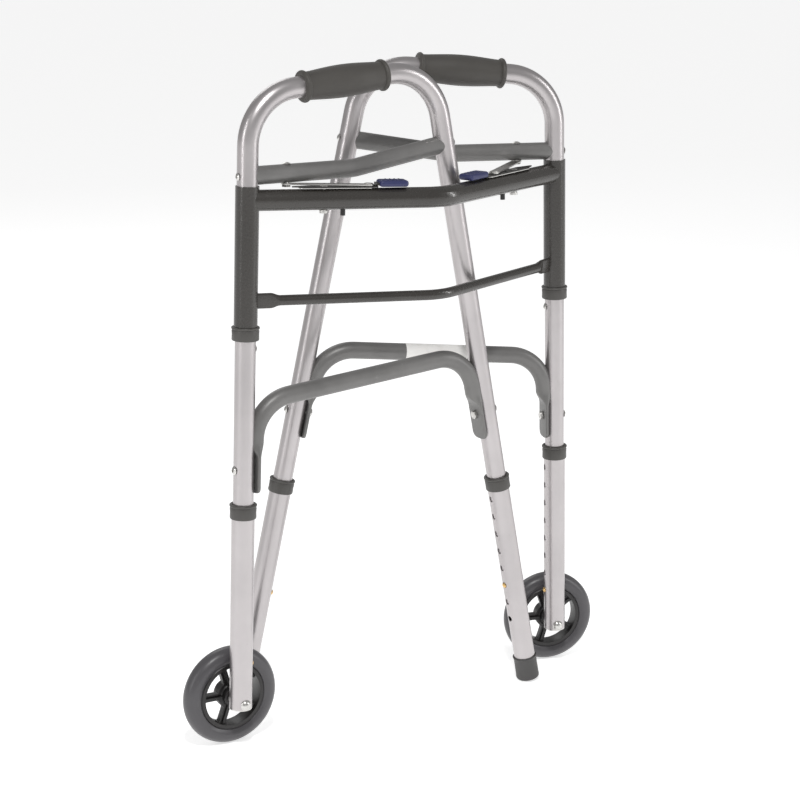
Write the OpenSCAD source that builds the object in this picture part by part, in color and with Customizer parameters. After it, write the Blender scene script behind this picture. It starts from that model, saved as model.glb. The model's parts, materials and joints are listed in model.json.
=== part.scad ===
// Two-button folding walking frame with two front wheels, nearly folded.
// Every side part is drawn in its side frame's own axes: X from the front leg
// to the rear leg, Z up along the front leg, which is also the fold axis.

/* [Side frame] */
// Distance between the front legs' axes at the floor
leg_spacing = 506; // [440:1:600]
// Lean of each front leg towards the middle, in degrees
leg_splay = 1.8; // [0:0.1:3]
// Length of the front leg's axis from the floor to the handle's axis
handle_height = 816; // [790:1:900]
// Distance from the front leg to the rear leg at the floor
side_depth = 448.3; // [420:0.1:520]
// Angle between the rear leg and the front leg, in degrees
rear_slope = 13; // [11:0.5:14]
// Centreline radius of the two handle bends
handle_bend = 68; // [60:1:76]

/* [Pose] */
// How far the left side is folded in from fully open, in degrees
left_fold = 92.4; // [0:0.1:92.4]
// How far the right side is folded in from fully open, in degrees
right_fold = 70.5; // [0:0.1:80]

/* [Tubes] */
// Outer diameter of the side frame's tube
tube_d = 25.4; // [24:0.1:27]
// Wall of the side frame's tube
tube_wall = 1.4; // [1.2:0.1:2]
// Wall of the leg extensions that slide over it
extension_wall = 1.3; // [1:0.1:2]
// Outer diameter of the braces
brace_d = 22.2; // [18:0.1:24]
// Wall of the braces
brace_wall = 1.3; // [1:0.1:2]
// Outer diameter of the upper crossbar
upper_bar_d = 25.4; // [22:0.1:26]
// Outer diameter of the lower crossbar
lower_bar_d = 12.7; // [10:0.1:16]
// Wall of both crossbars
bar_wall = 1.2; // [0.8:0.1:2]

/* [Crossbars] */
// Forward bow of both crossbars at the middle
bar_bow = 72; // [60:1:80]
// Downward tilt of the bow, in degrees
bow_tilt = 4; // [2:0.5:4.5]
// Height of the upper crossbar
upper_bar_h = 692.2; // [685:0.1:692.5]
// Height of the lower crossbar
lower_bar_h = 571.8; // [560:0.1:600]
// Bend radius at the middle of the crossbars
bar_bend = 70; // [40:1:100]

/* [Hinge sleeves] */
// Height of the lower end of each sleeve
sleeve_base = 542; // [536:1:546]
// Length of each sleeve
sleeve_length = 167.5; // [165:0.1:168]
// Wall of each sleeve
sleeve_wall = 1.2; // [1:0.1:2]
// Wall of the nylon bushes inside each sleeve
bush_wall = 0.35; // [0.3:0.05:1]
// Length of each nylon bush
bush_length = 14; // [8:1:20]
// Outer diameter of the thrust collar below each sleeve
collar_d = 34.4; // [32:0.1:38]
// Height of that collar
collar_length = 16.7; // [12:0.1:20]

/* [Braces] */
// Height of the upper brace at the front leg
upper_brace_h = 721; // [721:0.5:724]
// Rise of its front part, in degrees
upper_brace_rise = 1.8; // [1:0.1:3]
// Rise of its rear part, in degrees
upper_brace_kick = 11.2; // [8:0.1:14]
// Distance from the front leg to its bend
upper_brace_bend_x = 143; // [130:1:160]
// Height of the lower brace's axis line at the front leg
lower_brace_h = 445; // [440:1:470]
// Bend radius of the lower brace
lower_brace_bend = 52; // [45:1:60]
// Height of the lower brace's front bolt
front_bolt_h = 364.5; // [355:0.5:375]
// Distance up the rear leg to the lower brace's rear bolt
rear_bolt_z = 413; // [405:0.5:420]
// Width of the brace's flattened ends
flat_width = 30; // [26:1:32]
// Thickness of the flattened ends
flat_thick = 4; // [3:0.1:5]

/* [Leg extensions] */
// Distance between adjusting holes
hole_pitch = 25.4; // [24:0.1:27]
// Diameter of the adjusting holes
hole_d = 8; // [7.8:0.1:9]
// Height of the snap button on the front leg
front_button_h = 113.2; // [105:0.1:120]
// Distance up the rear leg to its snap button
rear_button_z = 163; // [155:0.1:170]
// Height of the lower end of the front extension
front_extension_base = 57.3; // [56:0.1:58]
// Height of the upper end of the front leg collar
front_collar_top = 321.5; // [315:0.5:325]
// Distance up the rear leg to the upper end of its collar
rear_collar_top = 320.2; // [315:0.5:325]
// Height of each leg collar
leg_collar_length = 18.2; // [14:0.1:22]
// Outer diameter of each leg collar
leg_collar_d = 34; // [32:0.1:38]
// Diameter of the rubber tip
tip_d = 32.8; // [31:0.1:40]
// Distance up the rear leg to the tip's sole
tip_sole_z = 17.4; // [16:0.1:20]
// Length of the rubber tip
tip_length = 34; // [28:0.5:36]
// Thickness of the rubber below the tube
tip_sole = 7; // [5:0.5:9]

/* [Wheels] */
// Diameter of the wheel over the tyre
wheel_d = 127; // [115:1:130]
// Height of the axle
axle_h = 63.6; // [63:0.05:66]
// Distance from the leg's axis to the middle of the wheel
wheel_offset = 30.5; // [30:0.1:34]
// Width of the tyre
tyre_width = 26; // [22:0.5:27]
// Diameter of the wheel centre's rim under the tyre
rim_d = 88; // [80:1:92]
// Width of the rim
rim_width = 21; // [16:0.5:24]
// Number of spokes
spokes = 5; // [3:1:7]
// Diameter of the axle bolt
axle_d = 8; // [6:0.1:9]
// Diameter of the steel bush that the wheel turns on
axle_bush_d = 12; // [11:0.1:14]

/* [Grips] */
// Length of each hand grip
grip_length = 115; // [100:1:120]
// Diameter of the grip at its middle
grip_belly_d = 39.4; // [36:0.1:42]
// Diameter of the grip at its necks
grip_neck_d = 34.6; // [32:0.1:36]
// Diameter of the flanges at the grip's ends
grip_flange_d = 38.6; // [36:0.1:42]

/* [Fold locks] */
// Distance from the front leg to the stay's pivot on the upper brace
stay_pivot_x = 52; // [50:0.5:54]
// Length of the stay between its two pins
stay_length = 99; // [97:0.5:101]
// Distance along the crossbar from the fold axis to the lever's pivot
lever_pivot_e = 93; // [90:0.5:96]
// Distance along the crossbar from the fold axis to the stop pin
stop_pin_e = 117; // [114:0.5:120]
// Length of the palm paddle
paddle_length = 36; // [30:1:38]
// Width of the palm paddle
paddle_width = 22; // [18:1:24]
// Thickness of the palm paddle
paddle_thick = 8; // [6:0.5:9]

/* [Hidden] */
$fn = 48;

// Place of the fold axes' midpoint, so that the origin is under the middle of the whole frame
centre_x = -5.15;
centre_y = -41.69;

// Clearances
running = 0.05;      // radial, between parts that turn on each other
slide_gap = 0.3;     // radial, between a leg tube and the extension over it
seat = 0.02;         // radial, between a part and what it is fixed on
face_gap = 0.3;      // between faces that move past each other
hole_gap = 0.15;     // radial, between a bolt and its hole
through = 1;         // how far a cut runs past the face that it opens
bend_lap = 0.4;      // how far a tube's straight run reaches into its bend
bend_swell = 0.1;    // radial, how much wider a bend is than the straight runs

// Radii that other sizes follow from
tube_r = tube_d / 2;
bore_r = tube_r - tube_wall;
extension_r = tube_r + slide_gap + extension_wall;
sleeve_in_r = tube_r + running + bush_wall;
sleeve_r = sleeve_in_r + seat + sleeve_wall;
brace_r = brace_d / 2;
bar_r = upper_bar_d / 2;

// Side frame geometry in its own X and Z
handle_rise = rear_slope / 2;
rear_corner_h = (handle_height + side_depth * tan(handle_rise))
    / (1 + tan(rear_slope) * tan(handle_rise));
rear_corner = [side_depth - rear_corner_h * tan(rear_slope), rear_corner_h];
handle_length = norm(rear_corner - [0, handle_height]);
button_tail = 30;                       // tube left below a snap button
screw_d = 5;
screw_head_d = 9.5;
screw_head_h = 2.4;
brace_bolt_d = 6;
holes_up_front = 7;                     // holes above the front button
holes_up_rear = 5;                      // holes above the rear button
holes_down_rear = 2;                    // holes below the rear button

// Levels of the lock parts, along the fold axis
bar_top = upper_bar_h + bar_r;
track_t = 0.9;
track_z = bar_top + 1.5;
lever_t = 1.3;
lever_z = track_z + track_t + 0.2;
stay_t = 1.5;
stay_z = lever_z + lever_t + 0.6;
stay_width = 13;
stay_nut_h = 2.6;
lever_tip_e = 54;                       // from the fold axis to the lever's tip
lever_end_e = 157;                      // and to its upturned end
lever_width = 15;
lever_rise = 4;                         // height of the upturned end
pivot_d = 6;

function unit(v) = v / norm(v);
function on_rear_leg(z) = [side_depth - z * sin(rear_slope), z * cos(rear_slope)];
function fold_of(side) = side < 0 ? left_fold : right_fold;
function bar_half_span(h) = leg_spacing / 2 - h * sin(leg_splay);
function bow_angle(h) = atan2(bar_bow, bar_half_span(h));

// Places for one side: -1 is left, 1 is right
module at_hinge(side)
    translate([centre_x + side * leg_spacing / 2, centre_y, 0])
        rotate([0, -side * leg_splay, 0]) children();

module at_side(side)
    at_hinge(side) rotate([0, 0, 90 + side * fold_of(side)]) children();

// Z runs up the rear leg from the floor and X points away from the front leg
module at_rear_leg() translate([side_depth, 0, 0]) rotate([0, -rear_slope, 0]) children();

// Z runs along the handle from its front corner
module at_handle() translate([0, 0, handle_height]) rotate([0, 90 - handle_rise, 0]) children();

// X runs along the upper crossbar from the fold axis towards the middle
module along_bar(side)
    at_hinge(side) rotate([0, 0, side < 0 ? -bow_angle(upper_bar_h) : 180 + bow_angle(upper_bar_h)])
        children();

// The plane that a crossbar is bent in
module bow_plane(h) translate([centre_x, centre_y, h * cos(leg_splay)]) rotate([bow_tilt, 0, 0]) children();

// Round rod through points in the XZ plane, with rounded corners. The straight
// runs end just inside the bends, which are wider by a hair, so that they join.
module bent_rod(points, bend, radius) {
    last = len(points) - 1;
    dirs = [for (i = [0:last - 1]) unit(points[i + 1] - points[i])];
    trim = [for (i = [0:last])
        i == 0 || i == last ? 0 : bend * tan(acos(dirs[i - 1] * dirs[i]) / 2)];
    for (i = [0:last - 1]) {
        start = points[i] + dirs[i] * (trim[i] - (i == 0 ? 0 : bend_lap));
        end = points[i + 1] - dirs[i] * (trim[i + 1] - (i == last - 1 ? 0 : bend_lap));
        translate([start.x, 0, start.y])
            rotate([0, atan2(dirs[i].x, dirs[i].y), 0]) cylinder(h = norm(end - start), r = radius);
    }
    for (i = [1:1:last - 1]) {
        into = dirs[i - 1];
        turn = into.x * dirs[i].y - into.y * dirs[i].x > 0 ? 1 : -1;
        begin = points[i] - into * trim[i];
        middle = begin + turn * bend * [-into.y, into.x];
        spoke = (turn > 0 ? begin : points[i] + dirs[i] * trim[i]) - middle;
        translate([middle.x, 0, middle.y]) rotate([90, 0, 0]) rotate([0, 0, atan2(spoke.y, spoke.x)])
            rotate_extrude(angle = acos(into * dirs[i])) translate([bend, 0])
                circle(r = radius + bend_swell);
    }
}

// The same points with both ends moved out, for a bore that opens both ends
function longer(points, more) = let (last = len(points) - 1)
    [for (i = [0:last]) i == 0 ? points[0] - unit(points[1] - points[0]) * more
        : i == last ? points[last] + unit(points[last] - points[last - 1]) * more : points[i]];

module bent_tube(points, bend, radius, wall)
    difference() {
        bent_rod(points, bend, radius);
        bent_rod(longer(points, through), bend, radius - wall);
    }

// Ring with chamfered outer edges, from z = 0 up
module ring(length, outer, inner, chamfer = 0.8)
    rotate_extrude() polygon([
        [inner, 0], [outer - chamfer, 0], [outer, chamfer],
        [outer, length - chamfer], [outer - chamfer, length], [inner, length]
    ]);

// Screw along +Z with its domed head below z = 0
module screw(length, shank_d, head_d, head_h) {
    dome_r = (pow(head_d / 2, 2) + pow(head_h, 2)) / (2 * head_h);
    cylinder(h = length, d = shank_d);
    intersection() {
        translate([0, 0, dome_r - head_h]) sphere(r = dome_r);
        translate([0, 0, -head_h]) cylinder(h = head_h, d = head_d);
    }
}

// Hexagon nut from z = 0 up, round a bolt of the given diameter
module nut(across, height, bolt_d)
    difference() {
        cylinder(h = height, d = across / cos(30), $fn = 6);
        translate([0, 0, -through]) cylinder(h = height + 2 * through, d = bolt_d + 2 * seat);
    }

// ---- Front frame ----

function bar_points(h) = [[-bar_half_span(h), 0], [0, -bar_bow], [bar_half_span(h), 0]];

module crossbar(h, diameter)
    bow_plane(h) rotate([-90, 0, 0])
        bent_tube(bar_points(h), bar_bend, diameter / 2, bar_wall);

module sleeve_space()
    for (side = [-1, 1]) at_hinge(side)
        translate([0, 0, sleeve_base]) cylinder(h = sleeve_length, r = sleeve_r);

module upper_crossbar()
    color("dimgray") difference() {
        crossbar(upper_bar_h, upper_bar_d);
        sleeve_space();
        for (side = [-1, 1], e = [lever_pivot_e, stop_pin_e]) along_bar(side)
            translate([e, 0, upper_bar_h - 3 * bar_r])
                cylinder(h = 6 * bar_r, d = pivot_d + 2 * hole_gap);
    }

flat_end_h = 19;
flat_end_t = 5;
flat_end_length = 30;

module lower_crossbar()
    color("dimgray") difference() {
        union() {
            crossbar(lower_bar_h, lower_bar_d);
            bow_plane(lower_bar_h) for (side = [-1, 1])
                translate([side * bar_half_span(lower_bar_h), 0, 0])
                    rotate([0, 0, side < 0 ? -bow_angle(lower_bar_h) : 180 + bow_angle(lower_bar_h)])
                        rotate([0, 90, 0]) linear_extrude(flat_end_length)
                            stadium(flat_end_h, flat_end_t);
        }
        sleeve_space();
    }

// Flat section with round ends, long way along X
module stadium(length, width) {
    square([length - width, width], center = true);
    for (end = [-1, 1]) translate([end * (length - width) / 2, 0]) circle(d = width);
}

module sleeve(side)
    color("dimgray") at_hinge(side) translate([0, 0, sleeve_base]) difference() {
        cylinder(h = sleeve_length, r = sleeve_r);
        translate([0, 0, -through]) cylinder(h = sleeve_length + 2 * through, r = sleeve_in_r + seat);
    }

module sleeve_bushes()
    color("gray") for (side = [-1, 1], z = [0, sleeve_length - bush_length])
        at_hinge(side) translate([0, 0, sleeve_base + z]) difference() {
            cylinder(h = bush_length, r = sleeve_in_r);
            translate([0, 0, -through]) cylinder(h = bush_length + 2 * through, r = tube_r + running);
        }

track_start_e = 62;
track_end_e = 154;

module track_plate(side)
    color("silver") along_bar(side) translate([0, 0, track_z]) difference() {
        linear_extrude(track_t) translate([(track_start_e + track_end_e) / 2, 0])
            stadium(track_end_e - track_start_e, lever_width);
        for (e = [lever_pivot_e, stop_pin_e]) translate([e, 0, -through])
            cylinder(h = track_t + 2 * through, d = pivot_d + 2 * hole_gap);
    }

pivot_head_d = 10;
pivot_head_h = 0.4;
pivot_nut_h = 3;
stop_pin_drop = 7;                      // of the stop pin below the crossbar

// Height of the crossbar's top (1) or underside (-1) at a place along it, along the fold axis
function bar_edge(e, way) = upper_bar_h + way * bar_r / cos(leg_splay)
    - e * (sin(bow_angle(upper_bar_h)) * tan(bow_tilt) - cos(bow_angle(upper_bar_h)) * tan(leg_splay));

// Its nut bears on the crossbar's underside, and a spacer carries the track plate on top
module lever_pivot_bolts()
    color("silver") for (side = [-1, 1]) along_bar(side) translate([lever_pivot_e, 0, 0]) {
        nut_top = bar_edge(lever_pivot_e, -1) - 0.6;
        head_z = lever_z + lever_t + 0.05;
        translate([0, 0, nut_top - pivot_nut_h])
            cylinder(h = head_z + pivot_head_h - nut_top + pivot_nut_h, d = pivot_d);
        translate([0, 0, head_z]) cylinder(h = pivot_head_h, d = pivot_head_d);
        translate([0, 0, nut_top - pivot_nut_h]) cylinder(h = pivot_nut_h, d = pivot_head_d);
        bar_spacer(lever_pivot_e);
    }

module lever_stop_pins()
    color("#222222") for (side = [-1, 1]) along_bar(side) translate([stop_pin_e, 0, 0]) {
        foot = bar_edge(stop_pin_e, -1) - stop_pin_drop;
        translate([0, 0, foot]) cylinder(h = lever_z + lever_t - foot, d = pivot_d);
        bar_spacer(stop_pin_e);
    }

// Short spacer between the crossbar's top and the track plate
module bar_spacer(e)
    translate([0, 0, bar_edge(e, 1) + 0.15]) cylinder(h = track_z - bar_edge(e, 1) - 0.17, d = 9);

// ---- Side frame ----

front_tube_end = front_button_h - button_tail;
rear_tube_end = rear_button_z - button_tail;
tube_points = [
    [0, front_tube_end], [0, handle_height], rear_corner, on_rear_leg(rear_tube_end)
];
upper_bend = [upper_brace_bend_x, upper_brace_h + upper_brace_bend_x * tan(upper_brace_rise)];
upper_end_h = (upper_bend.y + (side_depth - upper_bend.x) * tan(upper_brace_kick))
    / (1 + tan(rear_slope) * tan(upper_brace_kick));
upper_end = [side_depth - upper_end_h * tan(rear_slope), upper_end_h];
upper_points = [[0, upper_brace_h], upper_bend, upper_end];
upper_brace_bend = 90;                  // centreline radius

// Axes of the four fasteners that cross the side frame's tube, along +Z from the leg's axis
module at_upper_front() translate([0, 0, upper_brace_h]) rotate([0, 90 - upper_brace_rise, 0]) children();
module at_upper_rear()
    translate([upper_end.x, 0, upper_end.y]) rotate([0, -90 - upper_brace_kick, 0]) children();
module at_lower_front() translate([0, 0, front_bolt_h]) rotate([0, 90, 0]) children();
module at_lower_rear() at_rear_leg() translate([0, 0, rear_bolt_z]) rotate([0, -90, 0]) children();

module cross_hole(diameter)
    translate([0, 0, -2 * tube_r]) cylinder(h = 4 * tube_r, d = diameter + 2 * hole_gap);

stop_screw_h = sleeve_base - face_gap - collar_length - 11;
button_r = 3.6;
button_hole_r = button_r + 0.2;
button_dome = 1.9;                      // height of the button's dome
button_flange_x = bore_r - 2.2;         // from the leg's axis to the back of its flange

module side_tube(side)
    color("gainsboro") at_side(side) difference() {
        bent_tube(tube_points, handle_bend, tube_r, tube_wall);
        at_upper_front() cross_hole(screw_d);
        at_upper_rear() cross_hole(screw_d);
        at_lower_front() cross_hole(brace_bolt_d);
        at_lower_rear() cross_hole(brace_bolt_d);
        translate([0, 0, stop_screw_h]) rotate([0, 90, 0]) cylinder(h = 2 * tube_r, r = screw_d / 2 + hole_gap);
        translate([0, 0, front_button_h]) rotate([0, 90, 0]) cylinder(h = 2 * tube_r, r = button_hole_r);
        at_rear_leg() translate([0, 0, rear_button_z]) rotate([0, -90, 0])
            cylinder(h = 2 * tube_r, r = button_hole_r);
    }

// Solid rods where the two legs stand, to cope the braces against
module leg_space(more = 0) {
    cylinder(h = handle_height, r = tube_r + more);
    at_rear_leg() cylinder(h = handle_height, r = tube_r + more);
}

module upper_brace(side)
    color("dimgray") at_side(side) difference() {
        bent_tube(upper_points, upper_brace_bend, brace_r, brace_wall);
        leg_space(seat);
        translate([stay_pivot_x, 0, upper_brace_h - 2 * brace_r])
            cylinder(h = 6 * brace_r, d = pivot_d + 2 * hole_gap);
    }

plug_length = 22;

module brace_plugs(side)
    color("dimgray") at_side(side) difference() {
        union() {
            at_upper_front() cylinder(h = tube_r + plug_length, r = brace_r - brace_wall - seat);
            at_upper_rear() cylinder(h = tube_r + plug_length, r = brace_r - brace_wall - seat);
        }
        leg_space(seat);
        at_upper_front() cylinder(h = 2 * plug_length + tube_d, d = screw_d + 2 * hole_gap);
        at_upper_rear() cylinder(h = 2 * plug_length + tube_d, d = screw_d + 2 * hole_gap);
    }

// Lower brace: an upside-down U whose flattened ends lie against the legs
flat_out = tube_r + seat + flat_thick / 2;
lower_slope = tan(handle_rise);
front_flat_end = front_bolt_h - 30;      // lower ends of the flats
rear_flat_end = rear_bolt_z - 33;
rear_flat_line = side_depth - flat_out / cos(rear_slope);
lower_corner_x = (rear_flat_line - lower_brace_h * tan(rear_slope)) / (1 + lower_slope * tan(rear_slope));
lower_corner = [lower_corner_x, lower_brace_h + lower_slope * lower_corner_x];
front_flat_top = lower_brace_h + lower_slope * flat_out
    - lower_brace_bend * tan((90 - handle_rise) / 2) - 1;
rear_flat_top = lower_corner.y / cos(rear_slope) - lower_brace_bend * tan((90 - handle_rise) / 2) - 4;
lower_points = [
    [flat_out, front_flat_top], [flat_out, lower_brace_h + lower_slope * flat_out],
    lower_corner, on_rear_leg(rear_flat_top) - flat_out * [cos(rear_slope), sin(rear_slope)]
];
swage = 20;                             // length over which the round tube turns flat
flat_corner = 8;                        // corner radius of the flat's lower end

// Flattened end hanging from z = 0, its thickness along X
module flat_end(length) {
    translate([-flat_thick / 2, 0, -length]) {
        translate([0, -flat_width / 2, flat_corner])
            cube([flat_thick, flat_width, length - swage - flat_corner]);
        translate([0, -flat_width / 2 + flat_corner, 0])
            cube([flat_thick, flat_width - 2 * flat_corner, flat_corner]);
        for (edge = [-1, 1]) translate([0, edge * (flat_width / 2 - flat_corner), flat_corner])
            rotate([0, 90, 0]) cylinder(h = flat_thick, r = flat_corner);
    }
    hull() {
        translate([-flat_thick / 2, -flat_width / 2, -swage - 0.1]) cube([flat_thick, flat_width, 0.2]);
        cylinder(h = 0.2, r = brace_r, $fn = 32);
    }
}

module lower_brace(side)
    color("dimgray") at_side(side) difference() {
        union() {
            bent_tube(lower_points, lower_brace_bend, brace_r, brace_wall);
            translate([flat_out, 0, front_flat_top]) flat_end(front_flat_top - front_flat_end);
            at_rear_leg() translate([-flat_out, 0, rear_flat_top]) rotate([0, 0, 180])
                flat_end(rear_flat_top - rear_flat_end);
        }
        leg_space(seat);
        at_lower_front() cross_hole(brace_bolt_d);
        at_lower_rear() cross_hole(brace_bolt_d);
    }

module side_screws(side)
    color("silver") at_side(side) {
        at_upper_front() translate([0, 0, -tube_r - seat]) screw(40, screw_d, screw_head_d, screw_head_h);
        at_upper_rear() translate([0, 0, -tube_r - seat]) screw(40, screw_d, screw_head_d, screw_head_h);
        translate([tube_r + seat, 0, stop_screw_h]) rotate([0, -90, 0])
            screw(6, screw_d, screw_head_d, screw_head_h);
    }

brace_nut_h = 4.5;

module brace_bolts(side)
    color("silver") at_side(side) {
        at_lower_front() brace_bolt();
        at_lower_rear() brace_bolt();
    }

// Bolt through leg and brace end, with its nut on the brace
module brace_bolt() {
    grip = tube_r + 2 * seat + flat_thick;
    translate([0, 0, -tube_r - seat])
        screw(tube_r + grip + brace_nut_h, brace_bolt_d, 11, 3);
    translate([0, 0, grip]) nut(10, brace_nut_h, brace_bolt_d);
}

module sleeve_collar(side)
    color("gray") at_side(side)
        translate([0, 0, sleeve_base - face_gap - collar_length])
            ring(collar_length, collar_d / 2, tube_r + seat, 1);

function grip_r(t) = let (wave = (1 - cos(360 * t)) / 2)
    (grip_neck_d + (grip_belly_d - grip_neck_d) * wave) / 2;

grip_flange = 6;
grip_steps = 16;

module grip(side)
    color("#4b4944") at_side(side) at_handle() translate([0, 0, (handle_length - grip_length) / 2])
        rotate_extrude() polygon(concat(
            [[tube_r + seat, 0], [grip_flange_d / 2 - 2, 0], [grip_flange_d / 2, 1.5],
                [grip_flange_d / 2, grip_flange - 2]],
            [for (i = [0:grip_steps]) [grip_r(i / grip_steps),
                grip_flange + 2 + i / grip_steps * (grip_length - 2 * grip_flange - 4)]],
            [[grip_flange_d / 2, grip_length - grip_flange + 2], [grip_flange_d / 2, grip_length - 1.5],
                [grip_flange_d / 2 - 2, grip_length], [tube_r + seat, grip_length]]
        ));

// ---- Fold lock ----

stay_hole_z = upper_brace_h + stay_pivot_x * tan(upper_brace_rise);

module stay_bolt(side)
    color("silver") at_side(side) translate([stay_pivot_x, 0, 0]) {
        top = stay_hole_z + brace_r;
        bottom = stay_z - running - stay_nut_h;
        translate([0, 0, bottom]) cylinder(h = top - bottom, d = pivot_d);
        translate([0, 0, top]) rotate([180, 0, 0]) screw(2, pivot_d, 11, 2.2);
        translate([0, 0, bottom]) nut(10, stay_nut_h, pivot_d);
    }

// Angle at the stay's pivot between the brace and the stay, from the triangle
// of fold axis, pivot and stay pin
function opening(side) = 90 + bow_angle(upper_bar_h) - fold_of(side);
function stay_angle(side) = opening(side) + asin(stay_pivot_x * sin(opening(side)) / stay_length);

stay_head_d = 10;

module stay(side)
    color("silver") at_side(side) translate([stay_pivot_x, 0, stay_z])
        rotate([0, 0, side * stay_angle(side)]) {
            difference() {
                linear_extrude(stay_t) translate([stay_length / 2, 0])
                    stadium(stay_length + stay_width, stay_width);
                translate([0, 0, -through]) cylinder(h = stay_t + 2 * through, r = pivot_d / 2 + running);
            }
            translate([stay_length, 0, -0.3]) cylinder(h = stay_t + 0.3 + 1.2, d = stay_head_d);
        }

lever_swing = 7;

module lever(side)
    color("#3c3c3c") along_bar(side) translate([0, 0, lever_z]) {
        difference() {
            linear_extrude(lever_t) union() {
                polygon([
                    [lever_tip_e, -1.5], [lever_tip_e, 1.5], [lever_tip_e + 22, lever_width / 2],
                    [lever_end_e, lever_width / 2], [lever_end_e, -lever_width / 2],
                    [lever_tip_e + 22, -lever_width / 2]
                ]);
                translate([lever_pivot_e, 0]) circle(d = lever_width + 3);
            }
            translate([lever_pivot_e, 0, -through])
                cylinder(h = lever_t + 2 * through, r = pivot_d / 2 + running);
            translate([lever_pivot_e, 0, -through]) for (turn = [-1, 0, 1])
                rotate([0, 0, turn * lever_swing]) translate([stop_pin_e - lever_pivot_e, 0, 0])
                    cylinder(h = lever_t + 2 * through, r = pivot_d / 2 + 0.6);
        }
        translate([lever_end_e, -lever_width / 2, 0]) cube([lever_t, lever_width, lever_rise + lever_t]);
        translate([lever_end_e, -lever_width / 2, lever_rise])
            cube([paddle_length - 4, lever_width, lever_t]);
    }

paddle_start_e = lever_end_e + 3;

module paddle(side)
    color("#32345a") along_bar(side)
        translate([paddle_start_e, 0, lever_z + lever_rise + lever_t / 2]) difference() {
            translate([0, 0, -paddle_thick / 2]) {
                linear_extrude(paddle_thick) {
                    translate([paddle_length / 2, 0]) square([paddle_length - 12, paddle_width], center = true);
                    for (x = [6, paddle_length - 8], edge = [-1, 1])
                        translate([x, edge * (paddle_width / 2 - 6)]) circle(r = 6);
                    translate([paddle_length / 2, 0]) square([paddle_length, paddle_width - 12], center = true);
                }
            }
            translate([-paddle_start_e + lever_end_e - through, -lever_width / 2 - seat, -lever_t / 2 - seat])
                cube([paddle_length - 4 + through + seat, lever_width + 2 * seat, lever_t + 2 * seat]);
        }

// ---- Leg extensions ----

front_extension_top = front_collar_top - 3;
rear_extension_top = rear_collar_top - 3;
rear_extension_base = tip_sole_z + tip_sole;

// Tube from z = base to z = top with a column of adjusting holes facing the other leg
module extension_tube(base, top, button_z, up, down, inward) {
    difference() {
        translate([0, 0, base]) cylinder(h = top - base, r = extension_r);
        translate([0, 0, base - through])
            cylinder(h = top - base + 2 * through, r = tube_r + slide_gap);
        for (i = [-down:up]) translate([0, 0, button_z + i * hole_pitch])
            rotate([0, inward * 90, 0]) cylinder(h = 2 * extension_r, d = hole_d);
        if (base < axle_h && inward > 0) translate([0, 0, axle_h]) rotate([90, 0, 0])
            cylinder(h = 4 * extension_r, r = axle_d / 2 + hole_gap, center = true);
    }
}

module front_extension(side)
    color("gainsboro") at_side(side)
        extension_tube(front_extension_base, front_extension_top, front_button_h, holes_up_front, 0, 1);

module rear_extension(side)
    color("gainsboro") at_side(side) at_rear_leg()
        extension_tube(rear_extension_base, rear_extension_top, rear_button_z,
            holes_up_rear, holes_down_rear, -1);

// Snap-on collar over the top of an extension, from z = 0 up
module leg_collar()
    difference() {
        ring(leg_collar_length, leg_collar_d / 2, tube_r + slide_gap, 1);
        translate([0, 0, -through])
            cylinder(h = leg_collar_length - 3 + through, r = extension_r + seat);
    }

module front_collar(side)
    color("gray") at_side(side) translate([0, 0, front_collar_top - leg_collar_length]) leg_collar();

module rear_collar(side)
    color("gray") at_side(side) at_rear_leg()
        translate([0, 0, rear_collar_top - leg_collar_length]) leg_collar();

// Plated plug that closes the front extension around the axle
module foot_plug(side)
    color("silver") at_side(side) translate([0, 0, front_extension_base]) difference() {
        union() {
            translate([0, 0, -1.2]) cylinder(h = 1.2, r = extension_r);
            cylinder(h = 16, r = tube_r + slide_gap - seat);
        }
        translate([0, 0, axle_h - front_extension_base]) rotate([90, 0, 0])
            cylinder(h = 4 * extension_r, r = axle_d / 2 + hole_gap, center = true);
    }

module rear_tip(side)
    color("gray") at_side(side) at_rear_leg() translate([0, 0, tip_sole_z]) difference() {
        ring(tip_length, tip_d / 2, 0, 1);
        translate([0, 0, tip_sole]) cylinder(h = tip_length, r = extension_r + seat);
    }

// Snap button with its flange and leaf inside the leg tube, facing +X
module snap_button() {
    dome_base = extension_r + 0.6;
    dome_r = (pow(button_r, 2) + pow(button_dome, 2)) / (2 * button_dome);
    rotate([0, 90, 0]) {
        translate([0, 0, button_flange_x]) cylinder(h = dome_base - button_flange_x, r = button_r);
        translate([0, 0, button_flange_x]) cylinder(h = 1, r = button_r + 0.8);
        intersection() {
            translate([0, 0, dome_base + button_dome - dome_r]) sphere(r = dome_r);
            translate([0, 0, dome_base]) cylinder(h = button_dome, r = button_r);
        }
    }
    translate([button_flange_x - 0.8, -3.5, -24]) cube([0.81, 7, 28]);
}

module front_button(side)
    color("goldenrod") at_side(side) translate([0, 0, front_button_h]) snap_button();

module rear_button(side)
    color("goldenrod") at_side(side) at_rear_leg() translate([0, 0, rear_button_z])
        rotate([0, 0, 180]) snap_button();

// ---- Wheels ----

washer_t = 2;
hub_width = tyre_width;
hub_face = wheel_offset - hub_width / 2;
hub_gap = 0.3;
bush_start = extension_r + washer_t;
bush_end = wheel_offset + hub_width / 2 + hub_gap;
axle_nut_h = 6;
hub_r = 13;

// Z runs along the axle from the leg's axis towards the outside of the frame
module at_axle(side) at_side(side) translate([0, 0, axle_h]) rotate([side * 90, 0, 0]) children();

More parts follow.
